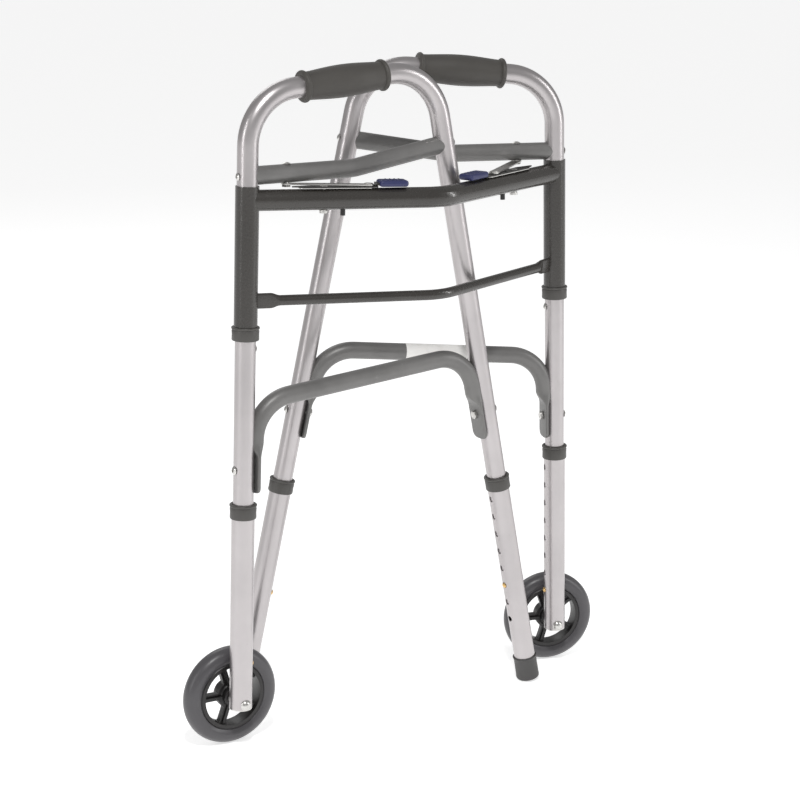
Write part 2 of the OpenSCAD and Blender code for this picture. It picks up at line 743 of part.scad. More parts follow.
module axle(side)
    color("silver") at_axle(side) {
        translate([0, 0, -extension_r - seat])
            screw(extension_r + bush_end + washer_t + axle_nut_h, axle_d, 14, 4.5);
        for (z = [extension_r + seat, bush_end]) translate([0, 0, z])
            ring(washer_t - 2 * seat, 9, axle_d / 2 + seat, 0.3);
        translate([0, 0, bush_end + washer_t]) nut(13, axle_nut_h, axle_d);
    }

module axle_bush(side)
    color("silver") at_axle(side) translate([0, 0, bush_start]) difference() {
        cylinder(h = bush_end - bush_start, d = axle_bush_d);
        translate([0, 0, -through]) cylinder(h = 40, r = axle_d / 2 + seat);
    }

hub_flange_r = hub_r + 5;
rim_wall = 6.5;
spoke_reach = rim_d / 2 - 4;            // a spoke ends inside the rim
spoke_width = 10;
spoke_t = 8;
rib_width = 2.4;
rib_height = 12;

module wheel_centre(side)
    color("#1d1b1a") at_axle(side) translate([0, 0, wheel_offset]) difference() {
        union() {
            translate([0, 0, -rim_width / 2]) difference() {
                cylinder(h = rim_width, d = rim_d);
                translate([0, 0, -through]) cylinder(h = rim_width + 2 * through, r = rim_d / 2 - rim_wall);
            }
            translate([0, 0, -hub_width / 2]) cylinder(h = hub_width, r = hub_r);
            translate([0, 0, hub_width / 2 - 6]) cylinder(h = 4, r = hub_flange_r);
            for (i = [0:spokes - 1]) rotate([0, 0, 90 + i * 360 / spokes]) {
                translate([0, -spoke_width / 2, -spoke_t / 2]) cube([spoke_reach, spoke_width, spoke_t]);
                translate([0, -rib_width / 2, -rib_height / 2]) cube([spoke_reach, rib_width, rib_height]);
            }
        }
        translate([0, 0, -hub_width]) cylinder(h = 2 * hub_width, r = axle_bush_d / 2 + running);
    }

tyre_round = 10;                        // from the tread down to its widest
bead_inset = 3;                         // how much narrower the tyre is where it meets the rim

module tyre(side)
    color("#58565a") at_axle(side) translate([0, 0, wheel_offset]) rotate_extrude($fn = 72) difference() {
        union() {
            translate([rim_d / 2 + seat, -tyre_width / 2 + bead_inset])
                square([wheel_d / 2 - rim_d / 2 - tyre_round, tyre_width - 2 * bead_inset]);
            translate([wheel_d / 2 - tyre_round, 0]) tread_section();
        }
        translate([0, -tyre_width]) square([rim_d / 2 + seat, 2 * tyre_width]);
    }

// Crowned tread section
module tread_section()
    intersection() {
        circle(r = tyre_width / 2, $fn = 64);
        translate([-tyre_round, -tyre_width]) square([2 * tyre_round, 2 * tyre_width]);
    }

// ---- Label ----

label_start = 124;
label_length = 84;

module blank_label()
    color("lightgray") at_side(1)
        translate([label_start, 0, lower_brace_h + lower_slope * label_start])
            rotate([0, 90 - handle_rise, 0]) difference() {
                cylinder(h = label_length, r = brace_r + 0.25);
                translate([0, 0, -through]) cylinder(h = label_length + 2 * through, r = brace_r + seat);
            }

upper_crossbar();
lower_crossbar();
sleeve(-1);  // left_sleeve
sleeve(1);  // right_sleeve
sleeve_bushes();
track_plate(-1);  // left_track_plate
track_plate(1);  // right_track_plate
lever_pivot_bolts();
lever_stop_pins();
side_tube(-1);  // left_side_tube
upper_brace(-1);  // left_upper_brace
lower_brace(-1);  // left_lower_brace
brace_plugs(-1);  // left_brace_plugs
grip(-1);  // left_grip
side_screws(-1);  // left_screws
brace_bolts(-1);  // left_brace_bolts
sleeve_collar(-1);  // left_sleeve_collar
stay_bolt(-1);  // left_stay_bolt
stay(-1);  // left_stay
lever(-1);  // left_lever
paddle(-1);  // left_paddle
front_button(-1);  // left_front_button
rear_button(-1);  // left_rear_button
front_extension(-1);  // left_front_extension
front_collar(-1);  // left_front_collar
foot_plug(-1);  // left_foot_plug
rear_extension(-1);  // left_rear_extension
rear_collar(-1);  // left_rear_collar
rear_tip(-1);  // left_rear_tip
axle(-1);  // left_axle
axle_bush(-1);  // left_axle_bush
wheel_centre(-1);  // left_wheel_centre
tyre(-1);  // left_tyre
side_tube(1);  // right_side_tube
upper_brace(1);  // right_upper_brace
lower_brace(1);  // right_lower_brace
brace_plugs(1);  // right_brace_plugs
grip(1);  // right_grip
side_screws(1);  // right_screws
brace_bolts(1);  // right_brace_bolts
sleeve_collar(1);  // right_sleeve_collar
stay_bolt(1);  // right_stay_bolt
stay(1);  // right_stay
lever(1);  // right_lever
paddle(1);  // right_paddle
front_button(1);  // right_front_button
rear_button(1);  // right_rear_button
front_extension(1);  // right_front_extension
front_collar(1);  // right_front_collar
foot_plug(1);  // right_foot_plug
rear_extension(1);  // right_rear_extension
rear_collar(1);  // right_rear_collar
rear_tip(1);  // right_rear_tip
axle(1);  // right_axle
axle_bush(1);  // right_axle_bush
wheel_centre(1);  // right_wheel_centre
tyre(1);  // right_tyre
blank_label();
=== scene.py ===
"""Folding walking frame: the finished tubes, grips, wheels and fittings round the packed frame."""
import json
import math

import bmesh
import bpy
from mathutils import Matrix, Vector


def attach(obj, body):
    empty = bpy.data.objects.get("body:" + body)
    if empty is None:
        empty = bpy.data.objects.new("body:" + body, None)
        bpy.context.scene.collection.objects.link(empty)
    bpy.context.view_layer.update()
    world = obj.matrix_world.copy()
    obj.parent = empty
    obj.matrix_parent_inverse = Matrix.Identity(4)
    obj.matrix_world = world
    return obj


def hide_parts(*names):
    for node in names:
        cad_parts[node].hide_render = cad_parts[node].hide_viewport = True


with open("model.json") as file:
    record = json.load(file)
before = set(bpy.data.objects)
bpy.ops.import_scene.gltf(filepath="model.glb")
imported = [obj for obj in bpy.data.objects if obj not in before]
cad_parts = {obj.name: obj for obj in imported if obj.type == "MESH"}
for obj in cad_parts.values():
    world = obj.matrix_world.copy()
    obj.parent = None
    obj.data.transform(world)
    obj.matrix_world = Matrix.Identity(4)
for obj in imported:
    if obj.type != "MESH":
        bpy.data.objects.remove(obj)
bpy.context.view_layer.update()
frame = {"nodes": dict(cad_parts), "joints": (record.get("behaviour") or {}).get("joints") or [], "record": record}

bl_info = {
    "name": "Folding walking frame",
    "version": (1, 0, 0),
    "blender": (4, 5, 0),
    "location": "View3D > Sidebar > Walking frame",
    "description": "Tubes, grips, wheels, fold locks and finishes of a folding walking frame",
    "category": "Object",
}

JOINTS = {joint["name"]: joint for joint in frame["joints"]}
MOUNTS = {mount["name"]: mount for mount in frame["record"]["mounts"]}
SIDES = ("left", "right")
MM = 0.001


# ---- Places that the frame gives ----

def joint_axis(name):
    return Vector(JOINTS[name]["axis"]).normalized()


def joint_point(name):
    return Vector(JOINTS[name]["pos_m"])


def axes(x, z, origin):
    """Matrix whose X and Z columns are x and z, at origin."""
    y = z.cross(x)
    return Matrix.Translation(origin) @ Matrix((x, y, z)).transposed().to_4x4()


def side_place(side):
    """A side frame's own axes: X from the front leg to the rear leg, Z up the front leg from the floor."""
    z = -joint_axis(side + "_front_leg_slide")
    hinge = joint_point(side + "_fold")
    return axes(-joint_axis(side + "_front_button_press"), z, hinge - z * (hinge.z / z.z))


def rear_place(side):
    """A rear leg's own axes: X away from the front leg, Z up the leg from the floor line."""
    tip = MOUNTS[side + "_rear_tip_outside"]
    z = -Vector(tip["axis"]).normalized()
    point = Vector(tip["pos_m"])
    up = side_place(side).to_3x3().col[2]
    start = point - z * ((point - side_place(side).translation).dot(up) / z.dot(up))
    return axes(joint_axis(side + "_rear_button_press"), z, start)


def bar_place(side):
    """The upper crossbar's own axes: X from the fold axis to the middle, Z up the fold axis."""
    base = side_place(side)
    z = base.to_3x3().col[2]
    out = joint_point(side + "_lever_press") - base.translation
    return axes((out - z * out.dot(z)).normalized(), z, base.translation)


def wheel_place(side):
    """A wheel's own axes, with Z along its axle, away from the leg."""
    return axes(-side_place(side).to_3x3().col[2], joint_axis(side + "_wheel_spin"),
                joint_point(side + "_wheel_spin"))


def outward(side):
    """The direction along a side frame's Y that points out of the walking frame."""
    return 1 if side == "left" else -1


def rear_slope():
    """Angle between a rear leg and its front leg."""
    return joint_axis("left_front_leg_slide").angle(joint_axis("left_rear_leg_slide"))


# ---- Sizes and colours that a user would change ----

def size(name, about, default, low=0.0005, high=1.0):
    return bpy.props.FloatProperty(name=name, description=about, default=default, min=low, max=high,
                                   unit="LENGTH", precision=4)


def colour(name, about, default):
    return bpy.props.FloatVectorProperty(name=name, description=about, subtype="COLOR", size=3,
                                         default=default, min=0.0, max=1.0)


def factor(name, about, default):
    return bpy.props.FloatProperty(name=name, description=about, default=default, min=0.0, max=1.0,
                                   subtype="FACTOR")


class TubeSizes(bpy.types.PropertyGroup):
    """Tubes of the side frames and the crossbars"""
    leg_d: size("Leg", "Outer diameter of the side frame's tube", 0.0254)
    brace_d: size("Brace", "Outer diameter of both braces", 0.0222)
    handle_height: size("Handle height", "Front leg's axis from the floor to the handle's axis", 0.816)
    side_depth: size("Side depth", "Front leg to rear leg at the floor", 0.4483)
    handle_bend: size("Handle bend", "Centreline radius of the handle's bends", 0.068)
    upper_brace_h: size("Upper brace height", "Upper brace's axis at the front leg", 0.721)
    upper_brace_bend_x: size("Upper brace bend", "Front leg to the upper brace's bend", 0.143)
    lower_brace_h: size("Lower brace height", "Lower brace's axis line at the front leg", 0.445)
    lower_brace_bend: size("Lower brace bend", "Centreline radius of the lower brace's bends", 0.052)
    flat_width: size("Flat width", "Width of the lower brace's flattened ends", 0.030)
    flat_thick: size("Flat thickness", "Thickness of the lower brace's flattened ends", 0.004)
    front_flat_end: size("Front flat end", "Height of the front flat's lower end", 0.3345)
    rear_flat_end: size("Rear flat end", "Distance up the rear leg to the rear flat's lower end", 0.380)
    upper_bar_d: size("Upper crossbar", "Outer diameter of the upper crossbar", 0.0254)
    upper_bar_h: size("Upper crossbar height", "Upper crossbar's axis, along the fold axis", 0.6922)
    lower_bar_d: size("Lower crossbar", "Outer diameter of the lower crossbar", 0.0127)
    lower_bar_h: size("Lower crossbar height", "Lower crossbar's axis, along the fold axis", 0.5718)
    bar_bow: size("Bow", "How far the crossbars' middle lies in front of the fold axes", 0.072)
    bar_bend: size("Bow bend", "Bend radius at the crossbars' middle", 0.070)


class FittingSizes(bpy.types.PropertyGroup):
    """Grips, collars, tips and fasteners"""
    grip_length: size("Grip length", "Length of a hand grip", 0.115)
    grip_belly_d: size("Grip belly", "Diameter of a grip at its middle", 0.0394)
    grip_neck_d: size("Grip neck", "Diameter of a grip beside its end beads", 0.0338)
    grip_bead_d: size("Grip bead", "Diameter of a grip's end beads", 0.0386)
    collar_d: size("Collar", "Outer diameter of a leg collar", 0.034)
    tip_d: size("Tip", "Diameter of a rubber tip", 0.0328)
    screw_d: size("Screw head", "Diameter of a screw's head", 0.0095)
    bolt_d: size("Bolt head", "Diameter of a brace bolt's head", 0.011)


class WheelSizes(bpy.types.PropertyGroup):
    """Wheels"""
    wheel_d: size("Wheel", "Diameter over the tyre", 0.127)
    rim_d: size("Rim", "Diameter of the rim under the tyre", 0.088)
    tyre_width: size("Tyre width", "Width of the tyre", 0.026)
    hub_d: size("Hub", "Diameter of the hub", 0.026)
    bore_d: size("Bore", "Diameter of the hub's bore", 0.0121)
    spokes: bpy.props.IntProperty(name="Spokes", description="Number of spokes", default=5, min=3, max=9)


class Finishes(bpy.types.PropertyGroup):
    """Colours"""
    aluminium: colour("Aluminium", "Satin anodised side tubes and legs", (0.50, 0.475, 0.478))
    dark_paint: colour("Dark paint", "Hammered gloss paint of the front frame", (0.034, 0.031, 0.028))
    brace_paint: colour("Brace paint", "Satin paint of the braces", (0.165, 0.162, 0.158))
    vinyl: colour("Vinyl", "Hand grips", (0.048, 0.044, 0.039))
    grey_plastic: colour("Grey plastic", "Collars", (0.060, 0.057, 0.053))
    grey_rubber: colour("Grey rubber", "Tips", (0.062, 0.060, 0.059))
    tyre: colour("Tyre", "Tyres", (0.075, 0.072, 0.077))
    black_plastic: colour("Black plastic", "Wheel centres and pins", (0.010, 0.009, 0.009))
    navy_plastic: colour("Navy plastic", "Palm paddles", (0.022, 0.026, 0.090))
    zinc: colour("Zinc plate", "Fasteners, stays and tracks", (0.62, 0.61, 0.59))
    black_steel: colour("Blackened steel", "Levers", (0.060, 0.058, 0.056))
    brass: colour("Brass", "Snap buttons", (0.72, 0.48, 0.20))
    label: colour("Label", "Blank paper label", (0.80, 0.79, 0.77))
    wear: factor("Wear", "How much handling shows on edges and faces", 0.5)


def tubes():
    return bpy.context.scene.walker_tubes


def fittings():
    return bpy.context.scene.walker_fittings


def wheels():
    return bpy.context.scene.walker_wheels


def finishes():
    return bpy.context.scene.walker_finishes


# ---- Modelling ----

def start():
    """Leaves edit mode with nothing selected."""
    if bpy.context.object is not None and bpy.context.object.mode != "OBJECT":
        bpy.ops.object.mode_set(mode="OBJECT")
    bpy.ops.object.select_all(action="DESELECT")


def loop(sides, radius, at=(0, 0, 0), turn=(0, 0, 0)):
    """An open circle, left in edit mode with all of it selected."""
    start()
    bpy.ops.mesh.primitive_circle_add(vertices=sides, radius=radius, location=at, rotation=turn)
    bpy.ops.object.transform_apply(location=True, rotation=True, scale=True)
    bpy.ops.object.mode_set(mode="EDIT")
    bpy.ops.mesh.select_all(action="SELECT")


def grow(step):
    """Extrudes the selected edges."""
    bpy.ops.mesh.extrude_edges_move(TRANSFORM_OT_translate={"value": tuple(step)})


def close_up():
    """Caps every open end and turns all faces outwards."""
    bpy.ops.mesh.select_all(action="SELECT")
    bpy.ops.mesh.fill_holes(sides=0)
    bpy.ops.mesh.select_all(action="SELECT")
    bpy.ops.mesh.normals_make_consistent(inside=False)


def named(name, smooth=40):
    """Leaves edit mode, and names and shades the active object."""
    piece = bpy.context.object
    if piece.mode != "OBJECT":
        bpy.ops.object.mode_set(mode="OBJECT")
    piece.name = piece.data.name = name
    bpy.ops.object.shade_smooth_by_angle(angle=math.radians(smooth))
    return piece


def named_again(piece):
    """Shades a piece again after cuts have changed its faces."""
    start()
    piece.select_set(True)
    bpy.context.view_layer.objects.active = piece
    return named(piece.name)


def put(piece, place):
    """Moves a piece's mesh to its place in the frame."""
    start()
    piece.select_set(True)
    bpy.context.view_layer.objects.active = piece
    piece.matrix_world = place
    bpy.ops.object.transform_apply(location=True, rotation=True, scale=True)
    return piece


def copied(piece, name, place):
    """A copy with its own mesh, put in its place."""
    start()
    piece.select_set(True)
    bpy.context.view_layer.objects.active = piece
    bpy.ops.object.duplicate(linked=False)
    twin = bpy.context.object
    twin.name = twin.data.name = name
    return put(twin, place)


def joined(name, pieces):
    """Several objects made one."""
    start()
    for piece in pieces:
        piece.select_set(True)
    bpy.context.view_layer.objects.active = pieces[0]
    if len(pieces) > 1:
        bpy.ops.object.join()
    pieces[0].name = pieces[0].data.name = name
    return pieces[0]


def modified(piece, kind, **settings):
    """Adds one modifier and applies it."""
    start()
    piece.select_set(True)
    bpy.context.view_layer.objects.active = piece
    modifier = piece.modifiers.new(kind.title(), kind)
    for key, value in settings.items():
        setattr(modifier, key, value)
    bpy.ops.object.modifier_apply(modifier=modifier.name)
    return piece


def cut(piece, tool):
    """Takes a tool's volume out of a piece and throws the tool away."""
    modified(piece, "BOOLEAN", operation="DIFFERENCE", object=tool, solver="EXACT")
    bpy.data.objects.remove(tool)
    return piece


def fused(piece, other):
    """Joins another solid to a piece as one closed skin."""
    modified(piece, "BOOLEAN", operation="UNION", object=other, solver="EXACT")
    bpy.data.objects.remove(other)
    return piece


def turned(name, profile, sides=64, hollow=False, smooth=40):
    """A solid of revolution about Z: a circle extruded and scaled through (z, radius) steps.
    A hollow one has its last ring bridged to its first."""
    first_z, first_r = profile[0]
    loop(sides, first_r, (0, 0, first_z))
    for (z, radius), (next_z, next_radius) in zip(profile, profile[1:]):
        grow((0, 0, next_z - z))
        scale = next_radius / radius
        bpy.ops.transform.resize(value=(scale, scale, 1), center_override=(0, 0, next_z))
    if hollow:
        bpy.ops.mesh.select_all(action="DESELECT")
        bpy.ops.mesh.select_non_manifold()
        bpy.ops.mesh.bridge_edge_loops()
    close_up()
    return named(name, smooth)


def arc_steps(centre, radius, begin, end, count):
    """(z, radius) steps round part of a circle; angles in degrees from the outward direction to +Z."""
    cz, cr = centre
    turns = [math.radians(begin + (end - begin) * i / count) for i in range(count + 1)]
    return [(cz + radius * math.sin(t), cr + radius * math.cos(t)) for t in turns]


def bent_bar(name, points, bend, radius, sides=48, ends=(0, 0), wall=0.0):
    """A round bar through points in the XZ plane: a circle extruded along each run and spun round each
    bend. ends holds how far it is made longer at its start and end, and wall makes it a tube."""
    points = [Vector((x, 0, z)) for x, z in points]
    points[0] += (points[0] - points[1]).normalized() * ends[0]
    points[-1] += (points[-1] - points[-2]).normalized() * ends[1]
    runs = [(b - a).normalized() for a, b in zip(points, points[1:])]
    trims = [0] + [bend * math.tan(a.angle(b) / 2) for a, b in zip(runs, runs[1:])] + [0]
    loop(sides, radius, points[0], (0, math.atan2(runs[0].x, runs[0].z), 0))
    for i, run in enumerate(runs):
        grow(run * ((points[i + 1] - points[i]).length - trims[i] - trims[i + 1]))
        if i + 1 < len(runs):
            turn = run.angle(runs[i + 1])
            axis = run.cross(runs[i + 1]).normalized()
            centre = points[i + 1] - run * trims[i + 1] + axis.cross(run) * bend
            # With no window, spin turns against its axis
            bpy.ops.mesh.spin(steps=max(4, round(math.degrees(turn) / 4)), angle=-turn,
                              center=centre, axis=axis)
    if wall:
        bpy.ops.mesh.select_all(action="SELECT")
        bpy.ops.mesh.normals_make_consistent(inside=False)
        return modified(named(name, 50), "SOLIDIFY", thickness=wall, offset=-1)
    close_up()
    return named(name, 50)


def rod(radius, length, place=None, sides=48):
    """A cylinder from its place's origin along its Z, as a tool for cuts."""
    start()
    bpy.ops.mesh.primitive_cylinder_add(vertices=sides, radius=radius, depth=length,
                                        location=(0, 0, length / 2))
    bpy.ops.object.transform_apply(location=True, rotation=True, scale=True)
    return put(bpy.context.object, place or Matrix())


def block(low, high):
    """A box between two corners."""
    low, high = Vector(low), Vector(high)
    start()
    bpy.ops.mesh.primitive_cube_add(size=1, location=(low + high) / 2, scale=high - low)
    bpy.ops.object.transform_apply(location=True, rotation=True, scale=True)
    return bpy.context.object


def finish_piece(piece, body, material, slot, *nodes):
    """Gives a piece its finish and its body, and says which nodes it stands for."""
    piece.data.materials.clear()
    piece.data.materials.append(bpy.data.materials[material + FINISH_ENDING])
    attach(piece, body)
    if nodes:
        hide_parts(*nodes)
    return piece


# ---- Finishes ----

class Value:
    """A shader number, written in sums: each operator adds its Math node."""

    def __init__(self, sheet, socket):
        self.sheet, self.socket = sheet, socket

    def _math(self, operation, a, b=None, c=None):
        return self.sheet.node("ShaderNodeMath", {"operation": operation}, a, b, c)

    def __add__(self, other):
        return self._math("ADD", self, other)

    __radd__ = __add__

    def __sub__(self, other):
        return self._math("SUBTRACT", self, other)

    def __rsub__(self, other):
        return self._math("SUBTRACT", other, self)

    def __mul__(self, other):
        return self._math("MULTIPLY", self, other)

    __rmul__ = __mul__

    def __truediv__(self, other):
        return self._math("DIVIDE", self, other)

    def __pow__(self, other):
        return self._math("POWER", self, other)

    def clamped(self):
        return self.sheet.node("ShaderNodeClamp", {}, self, 0.0, 1.0)

    def above(self, low, high):
        """0 below low, 1 above high, smooth between."""
        return self.sheet.node("ShaderNodeMapRange", {"interpolation_type": "SMOOTHSTEP"},
                               self, low, high, 0.0, 1.0)


FINISH_ENDING = "_finish"               # keeps these apart from the frame's own plain materials


class Sheet:
    """A material being written."""

    def __init__(self, name):
        self.material = bpy.data.materials.new(name + FINISH_ENDING)
        self.material.use_nodes = True
        self.tree = self.material.node_tree
        self.tree.nodes.clear()
        self.output = self.tree.nodes.new("ShaderNodeOutputMaterial")
        self.coordinates = self.tree.nodes.new("ShaderNodeTexCoord")

    def fill(self, socket, value):
        """Links a value or a colour to a socket, or sets the socket to a constant."""
        if isinstance(value, Value):
            self.tree.links.new(value.socket, socket)
        elif isinstance(value, bpy.types.NodeSocket):
            self.tree.links.new(value, socket)
        else:
            socket.default_value = value

    def node(self, kind, settings, *inputs, out=0, **named_inputs):
        """Any node: its settings first, then its sockets in order, or by name."""
        made = self.tree.nodes.new(kind)
        for key, value in settings.items():
            if key == "stops":
                ramp = made.color_ramp
                while len(ramp.elements) < len(value):
                    ramp.elements.new(0.5)
                for element, (position, tone) in zip(ramp.elements, value):
                    element.position = position
                    element.color = (*tone, 1) if len(tone) == 3 else tone
            else:
                setattr(made, key, value)
        for socket, value in zip(made.inputs, inputs):
            if value is not None:
                self.fill(socket, value)
        for key, value in named_inputs.items():
            self.fill(made.inputs[key.replace("_", " ")], value)
        return Value(self, made.outputs[out])

    def place(self, scale=(1, 1, 1), turn=(0, 0, 0)):
        return self.node("ShaderNodeMapping", {}, Value(self, self.coordinates.outputs["Object"]),
                         Scale=scale, Rotation=turn)

    def noise(self, scale, detail=3.0, roughness=0.5, at=None, distortion=0.0):
        where = at or Value(self, self.coordinates.outputs["Object"])
        return self.node("ShaderNodeTexNoise", {}, Vector=where, Scale=scale, Detail=detail,
                         Roughness=roughness, Distortion=distortion)

    def cells(self, scale, feature="F1", at=None, randomness=1.0):
        where = at or Value(self, self.coordinates.outputs["Object"])
        return self.node("ShaderNodeTexVoronoi", {"feature": feature}, Vector=where, Scale=scale,
                         Randomness=randomness)

    def mix(self, factor, a, b):
        """Colour a where factor is 0, colour b where it is 1."""
        made = self.tree.nodes.new("ShaderNodeMix")
        made.data_type = "RGBA"
        for index, value in ((0, factor), (6, a), (7, b)):
            tone = isinstance(value, (tuple, list))
            self.fill(made.inputs[index], (*value, 1) if tone and len(value) == 3 else value)
        return Value(self, made.outputs[2])

    def edges(self, low=0.52, high=0.62):
        """1 on outside edges, from the mesh's own shape."""
        geometry = self.tree.nodes.new("ShaderNodeNewGeometry")
        return Value(self, geometry.outputs["Pointiness"]).above(low, high)

    def surface(self, bump=None, strength=0.2, distance=0.0005, **sockets):
        shader = self.tree.nodes.new("ShaderNodeBsdfPrincipled")
        for key, value in sockets.items():
            tone = isinstance(value, (tuple, list)) and len(value) == 3
            self.fill(shader.inputs[key.replace("_", " ")], (*value, 1) if tone else value)
        if bump is not None:
            self.tree.links.new(self.node("ShaderNodeBump", {}, Strength=strength, Distance=distance,
                                          Height=bump).socket, shader.inputs["Normal"])
        self.tree.links.new(shader.outputs[0], self.output.inputs[0])
        return self.material


def tone(colour_value, by):
    """A colour made lighter or darker by a factor."""
    return tuple(min(1.0, channel * by) for channel in colour_value)


def satin_aluminium():
    """Anodised drawn tube: a dull sheen, faint marks along the tube and a little dirt."""
    look, sheet = finishes(), Sheet("satin_aluminium")
    drawn = sheet.noise(900, 2.0, 0.6, sheet.place((1, 1, 0.02)))
    cloud = sheet.noise(9, 4.0, 0.6)
    specks = sheet.noise(260, 3.0, 0.7).above(0.64, 0.72)
    marks = sheet.noise(70, 5.0, 0.75, sheet.place((1, 1, 0.5))).above(0.62, 0.68) * look.wear
    dull = (specks * 0.35 + marks * 0.5).clamped()
    base = sheet.mix(cloud.above(0.35, 0.65), tone(look.aluminium, 0.93), tone(look.aluminium, 1.03))
    return sheet.surface(bump=drawn * 0.5 + specks * 0.25, strength=0.12, distance=0.0002,
                         Base_Color=sheet.mix(dull * 0.4, base, tone(look.aluminium, 0.72)),
                         Metallic=0.94, Roughness=0.27 + cloud * 0.08 + drawn * 0.06 + dull * 0.10)


def dark_paint():
    """Hammered gloss paint: dished cells that break the highlight up, and fine metal flake."""
    look, sheet = finishes(), Sheet("dark_paint")
    dimples = sheet.cells(420, "SMOOTH_F1")
    ripple = sheet.noise(240, 3.0, 0.6)
    flake = sheet.noise(2400, 2.0, 0.6).above(0.60, 0.72)
    cloud = sheet.noise(12, 3.0)
    base = sheet.mix(cloud, tone(look.dark_paint, 0.85), tone(look.dark_paint, 1.25))
    base = sheet.mix(flake * 0.35, base, tone(look.dark_paint, 4.0))
    worn = sheet.noise(160, 5.0, 0.75).above(0.70, 0.74) * look.wear
    return sheet.surface(bump=dimples * 0.8 + ripple * 0.6, strength=0.30, distance=0.0006,
                         Base_Color=sheet.mix(worn * 0.5, base, tone(look.dark_paint, 3.0)), Metallic=0.12,
                         Roughness=0.17 + ripple * 0.14 + cloud * 0.05, Coat_Weight=0.3)


def brace_paint():
    """Satin paint, with a little orange peel."""
    look, sheet = finishes(), Sheet("brace_paint")
    peel = sheet.noise(380, 2.0, 0.5)
    cloud = sheet.noise(14, 4.0, 0.6)
    dust = sheet.noise(1500, 2.0, 0.6).above(0.66, 0.74)
    rubbed = sheet.noise(45, 5.0, 0.7).above(0.63, 0.70) * look.wear
    base = sheet.mix(cloud.above(0.3, 0.7), tone(look.brace_paint, 0.88), tone(look.brace_paint, 1.12))
    base = sheet.mix((dust * 0.3 + rubbed * 0.35).clamped(), base, tone(look.brace_paint, 1.9))
    return sheet.surface(bump=peel, strength=0.14, distance=0.0004, Base_Color=base, Metallic=0.25,
                         Roughness=0.36 + cloud * 0.10 + rubbed * 0.12)


def grip_vinyl():
    """Dipped vinyl: fine pores, palm polish in the middle and dull, dusty beads."""
    look, sheet = finishes(), Sheet("grip_vinyl")
    pores = sheet.cells(1500)
    grain = sheet.noise(900, 4.0, 0.65)
    polish = sheet.noise(26, 3.0, 0.6).above(0.42, 0.62) * look.wear
    base = sheet.mix(sheet.noise(40, 5.0, 0.6), tone(look.vinyl, 0.85), tone(look.vinyl, 1.25))
    base = sheet.mix(sheet.edges(0.51, 0.58) * 0.3, base, tone(look.vinyl, 1.9))
    return sheet.surface(bump=grain * 0.7 + pores * 0.5, strength=0.22, distance=0.0003, Base_Color=base,
                         Roughness=0.56 - polish * 0.16 + grain * 0.10, Sheen_Weight=0.08,
                         Sheen_Roughness=0.5)


def moulded(name, base_tone, roughness, grain_size=1100, coat=0.0, edge_light=1.7, depth=0.2):
    """Moulded plastic or rubber: fine grain, slow changes of tone, and edges rubbed lighter."""
    look, sheet = finishes(), Sheet(name)
    grain = sheet.noise(grain_size, 3.0, 0.6)
    cloud = sheet.noise(30, 4.0, 0.6)
    scuffs = sheet.noise(110, 5.0, 0.75).above(0.62, 0.70) * look.wear
    worn = (sheet.edges(0.51, 0.60) * 0.6 + scuffs * 0.3).clamped()
    base = sheet.mix(cloud, tone(base_tone, 0.86), tone(base_tone, 1.16))
    return sheet.surface(bump=grain + scuffs * 0.3, strength=depth, distance=0.0003,
                         Base_Color=sheet.mix(worn * 0.6, base, tone(base_tone, edge_light)),
                         Roughness=roughness + grain * 0.10 + scuffs * 0.10, Coat_Weight=coat)


def plated(name, base_tone, roughness, stain):
    """Plated or blackened metal with a thin cast of handling and dirt in its low places."""
    look, sheet = finishes(), Sheet(name)
    grain = sheet.noise(1300, 3.0, 0.6)
    cloud = sheet.noise(55, 5.0, 0.65)
    dirt = cloud.above(0.50, 0.70) * look.wear
    return sheet.surface(bump=grain, strength=0.10, distance=0.0002,
                         Base_Color=sheet.mix(dirt * 0.6, tone(base_tone, 1.0), stain), Metallic=1.0,
                         Roughness=roughness + grain * 0.08 + dirt * 0.2)


def label_white():
    """Blank paper label: faint fibre, and corners browned by hands."""
    look, sheet = finishes(), Sheet("label_white")
    fibre = sheet.noise(1600, 4.0, 0.7)
    soiled = sheet.noise(60, 4.0, 0.65).above(0.52, 0.70) * look.wear
    base = sheet.mix(fibre, tone(look.label, 0.94), tone(look.label, 1.05))
    return sheet.surface(bump=fibre, strength=0.12, distance=0.0002,
                         Base_Color=sheet.mix(soiled * 0.35, base, (0.48, 0.46, 0.42)),
                         Roughness=0.48 + fibre * 0.12, Metallic=0.0)


def make_finishes():
    look = finishes()
    satin_aluminium()
    dark_paint()
    brace_paint()
    grip_vinyl()
    moulded("grey_plastic", look.grey_plastic, 0.40)
    moulded("grey_rubber", look.grey_rubber, 0.52, 800, edge_light=1.4)
    moulded("tyre_rubber", look.tyre, 0.30, 700, edge_light=1.2, depth=0.12)
    moulded("black_plastic", look.black_plastic, 0.34, 1200, edge_light=3.0)
    moulded("navy_plastic", look.navy_plastic, 0.34, 1200, edge_light=2.0)
    plated("zinc_plate", look.zinc, 0.27, (0.30, 0.28, 0.25))
    plated("blackened_steel", look.black_steel, 0.38, (0.03, 0.028, 0.026))
    plated("brass", look.brass, 0.24, (0.30, 0.19, 0.08))
    label_white()


NODE_FINISH = {entry["node"]: entry["material_slot"] for entry in frame["record"]["subparts"]}


# ---- Shapes that several pieces share ----

HUNDREDTH = 0.00001                     # width taken as nothing when vertices are told apart
TUBE_WALL = 0.0014
BRACE_WALL = 0.0013
SLEEVE_R = 0.01432
EXTENSION_R = 0.0143
SEAT = 0.00002
COLLAR_TOP = {"front": 0.3215, "rear": 0.3202}
BUTTON_Z = {"front": 0.1132, "rear": 0.163}
BUTTON_HOLE_R = 0.0038
TUBE_TAIL = 0.030                       # tube left below a snap button
BOW_TILT = math.radians(4)


